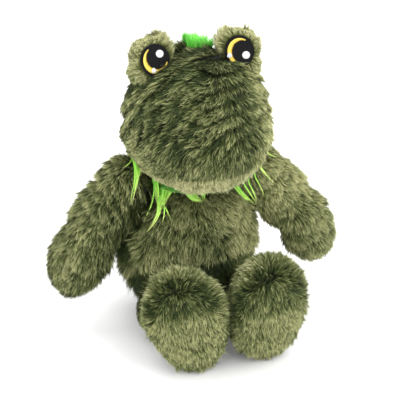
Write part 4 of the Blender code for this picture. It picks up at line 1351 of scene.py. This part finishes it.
for f in (0.0, 0.35, 0.7, 1.0):
    r = 31.4 + 10.2 * f
    z = 155.3 - 5.9 * f ** 1.4
    ring_v = [bm.verts.new(Vector((r * math.cos(a), NECK.y + r * math.sin(a),
                                   z + 0.25 * math.sin(a * 22) * f)) * MM)
              for a in (2 * math.pi * j / 88 for j in range(88))]
    if prev:
        for j in range(88):
            k = (j + 1) % 88
            bm.faces.new((prev[j], ring_v[j], ring_v[k], prev[k]))
    prev = ring_v
bm.normal_update()
mesh = bpy.data.meshes.new("ruff_strip")
bm.to_mesh(mesh)
bm.free()
mesh.shade_smooth()
ob = link("ruff_strip", mesh, "neck_ring", SKIN_GREEN)
mod = ob.modifiers.new("cloth", "SOLIDIFY")
mod.thickness = 1.2 * MM
mod.offset = 1
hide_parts("mane_ruff")

# ------------------------------------------------------------------ hidden pieces
def dress(node, mat):
    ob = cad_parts[node]
    ob.data.materials.clear()
    ob.data.materials.append(mat)
    for s in ob.material_slots:
        s.link = "OBJECT"
        s.material = mat


for node in list(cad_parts):
    if "stuffing" in node:
        dress(node, FIBRE)
    elif node == "seat_pellet_bag":
        dress(node, BEAD_CLOTH)
    elif "thread" in node:
        dress(node, THREAD)

# ------------------------------------------------------------------ floor, light, camera
mat, tree, bsdf = material("floor_paper")
n = tree.nodes.new("ShaderNodeTexNoise")
n.inputs["Scale"].default_value = 6
cr = tree.nodes.new("ShaderNodeValToRGB")
set_colour(cr, [(0.3, (0.95, 0.95, 0.95)), (0.7, (0.97, 0.97, 0.97))])
tree.links.new(n.outputs["Fac"], cr.inputs["Fac"])
tree.links.new(cr.outputs["Color"], bsdf.inputs["Base Color"])
bsdf.inputs["Roughness"].default_value = 0.95
bsdf.inputs["Specular IOR Level"].default_value = 0.1
mesh = bpy.data.meshes.new("floor")
mesh.from_pydata([(-4, -4, 0), (4, -4, 0), (4, 4, 0), (-4, 4, 0)], [], [(0, 1, 2, 3)])
mesh.materials.append(mat)
floor = bpy.data.objects.new("floor", mesh)
bpy.context.scene.collection.objects.link(floor)

bpy.context.scene.view_settings.view_transform = "Standard"
world = bpy.data.worlds.new("studio")
bpy.context.scene.world = world
world.use_nodes = True
bg = world.node_tree.nodes["Background"]
bg.inputs["Color"].default_value = (1, 1, 1, 1)
bg.inputs["Strength"].default_value = 1.4


def lamp(name, at, aim, size, power, colour=(1, 1, 1)):
    data = bpy.data.lights.new(name, "AREA")
    data.shape = "RECTANGLE"
    data.size, data.size_y = size
    data.energy = power
    data.color = colour
    ob = bpy.data.objects.new(name, data)
    ob.location = at
    ob.rotation_euler = (Vector(aim) - Vector(at)).to_track_quat("-Z", "Y").to_euler()
    bpy.context.scene.collection.objects.link(ob)


lamp("key", (0.75, -1.1, 1.25), (0, -0.04, 0.14), (1.6, 1.6), 15)
lamp("fill", (-1.2, -0.9, 0.8), (0, -0.04, 0.14), (1.0, 1.0), 5)
lamp("top", (0.0, 0.35, 1.5), (0, 0, 0.15), (1.2, 1.0), 8)

cam = bpy.data.cameras.new("camera")
cam.sensor_fit = "HORIZONTAL"
cam.sensor_width = 36
cam.lens = 112.5
cam.dof.use_dof = False
cam.shift_y = -0.025
cam.clip_start, cam.clip_end = 0.05, 30
camera = bpy.data.objects.new("camera", cam)
camera.location = eye_at * MM
camera.rotation_mode = "QUATERNION"
camera.rotation_quaternion = (-back).to_track_quat("-Z", "Y")
bpy.context.scene.collection.objects.link(camera)
bpy.context.scene.camera = camera
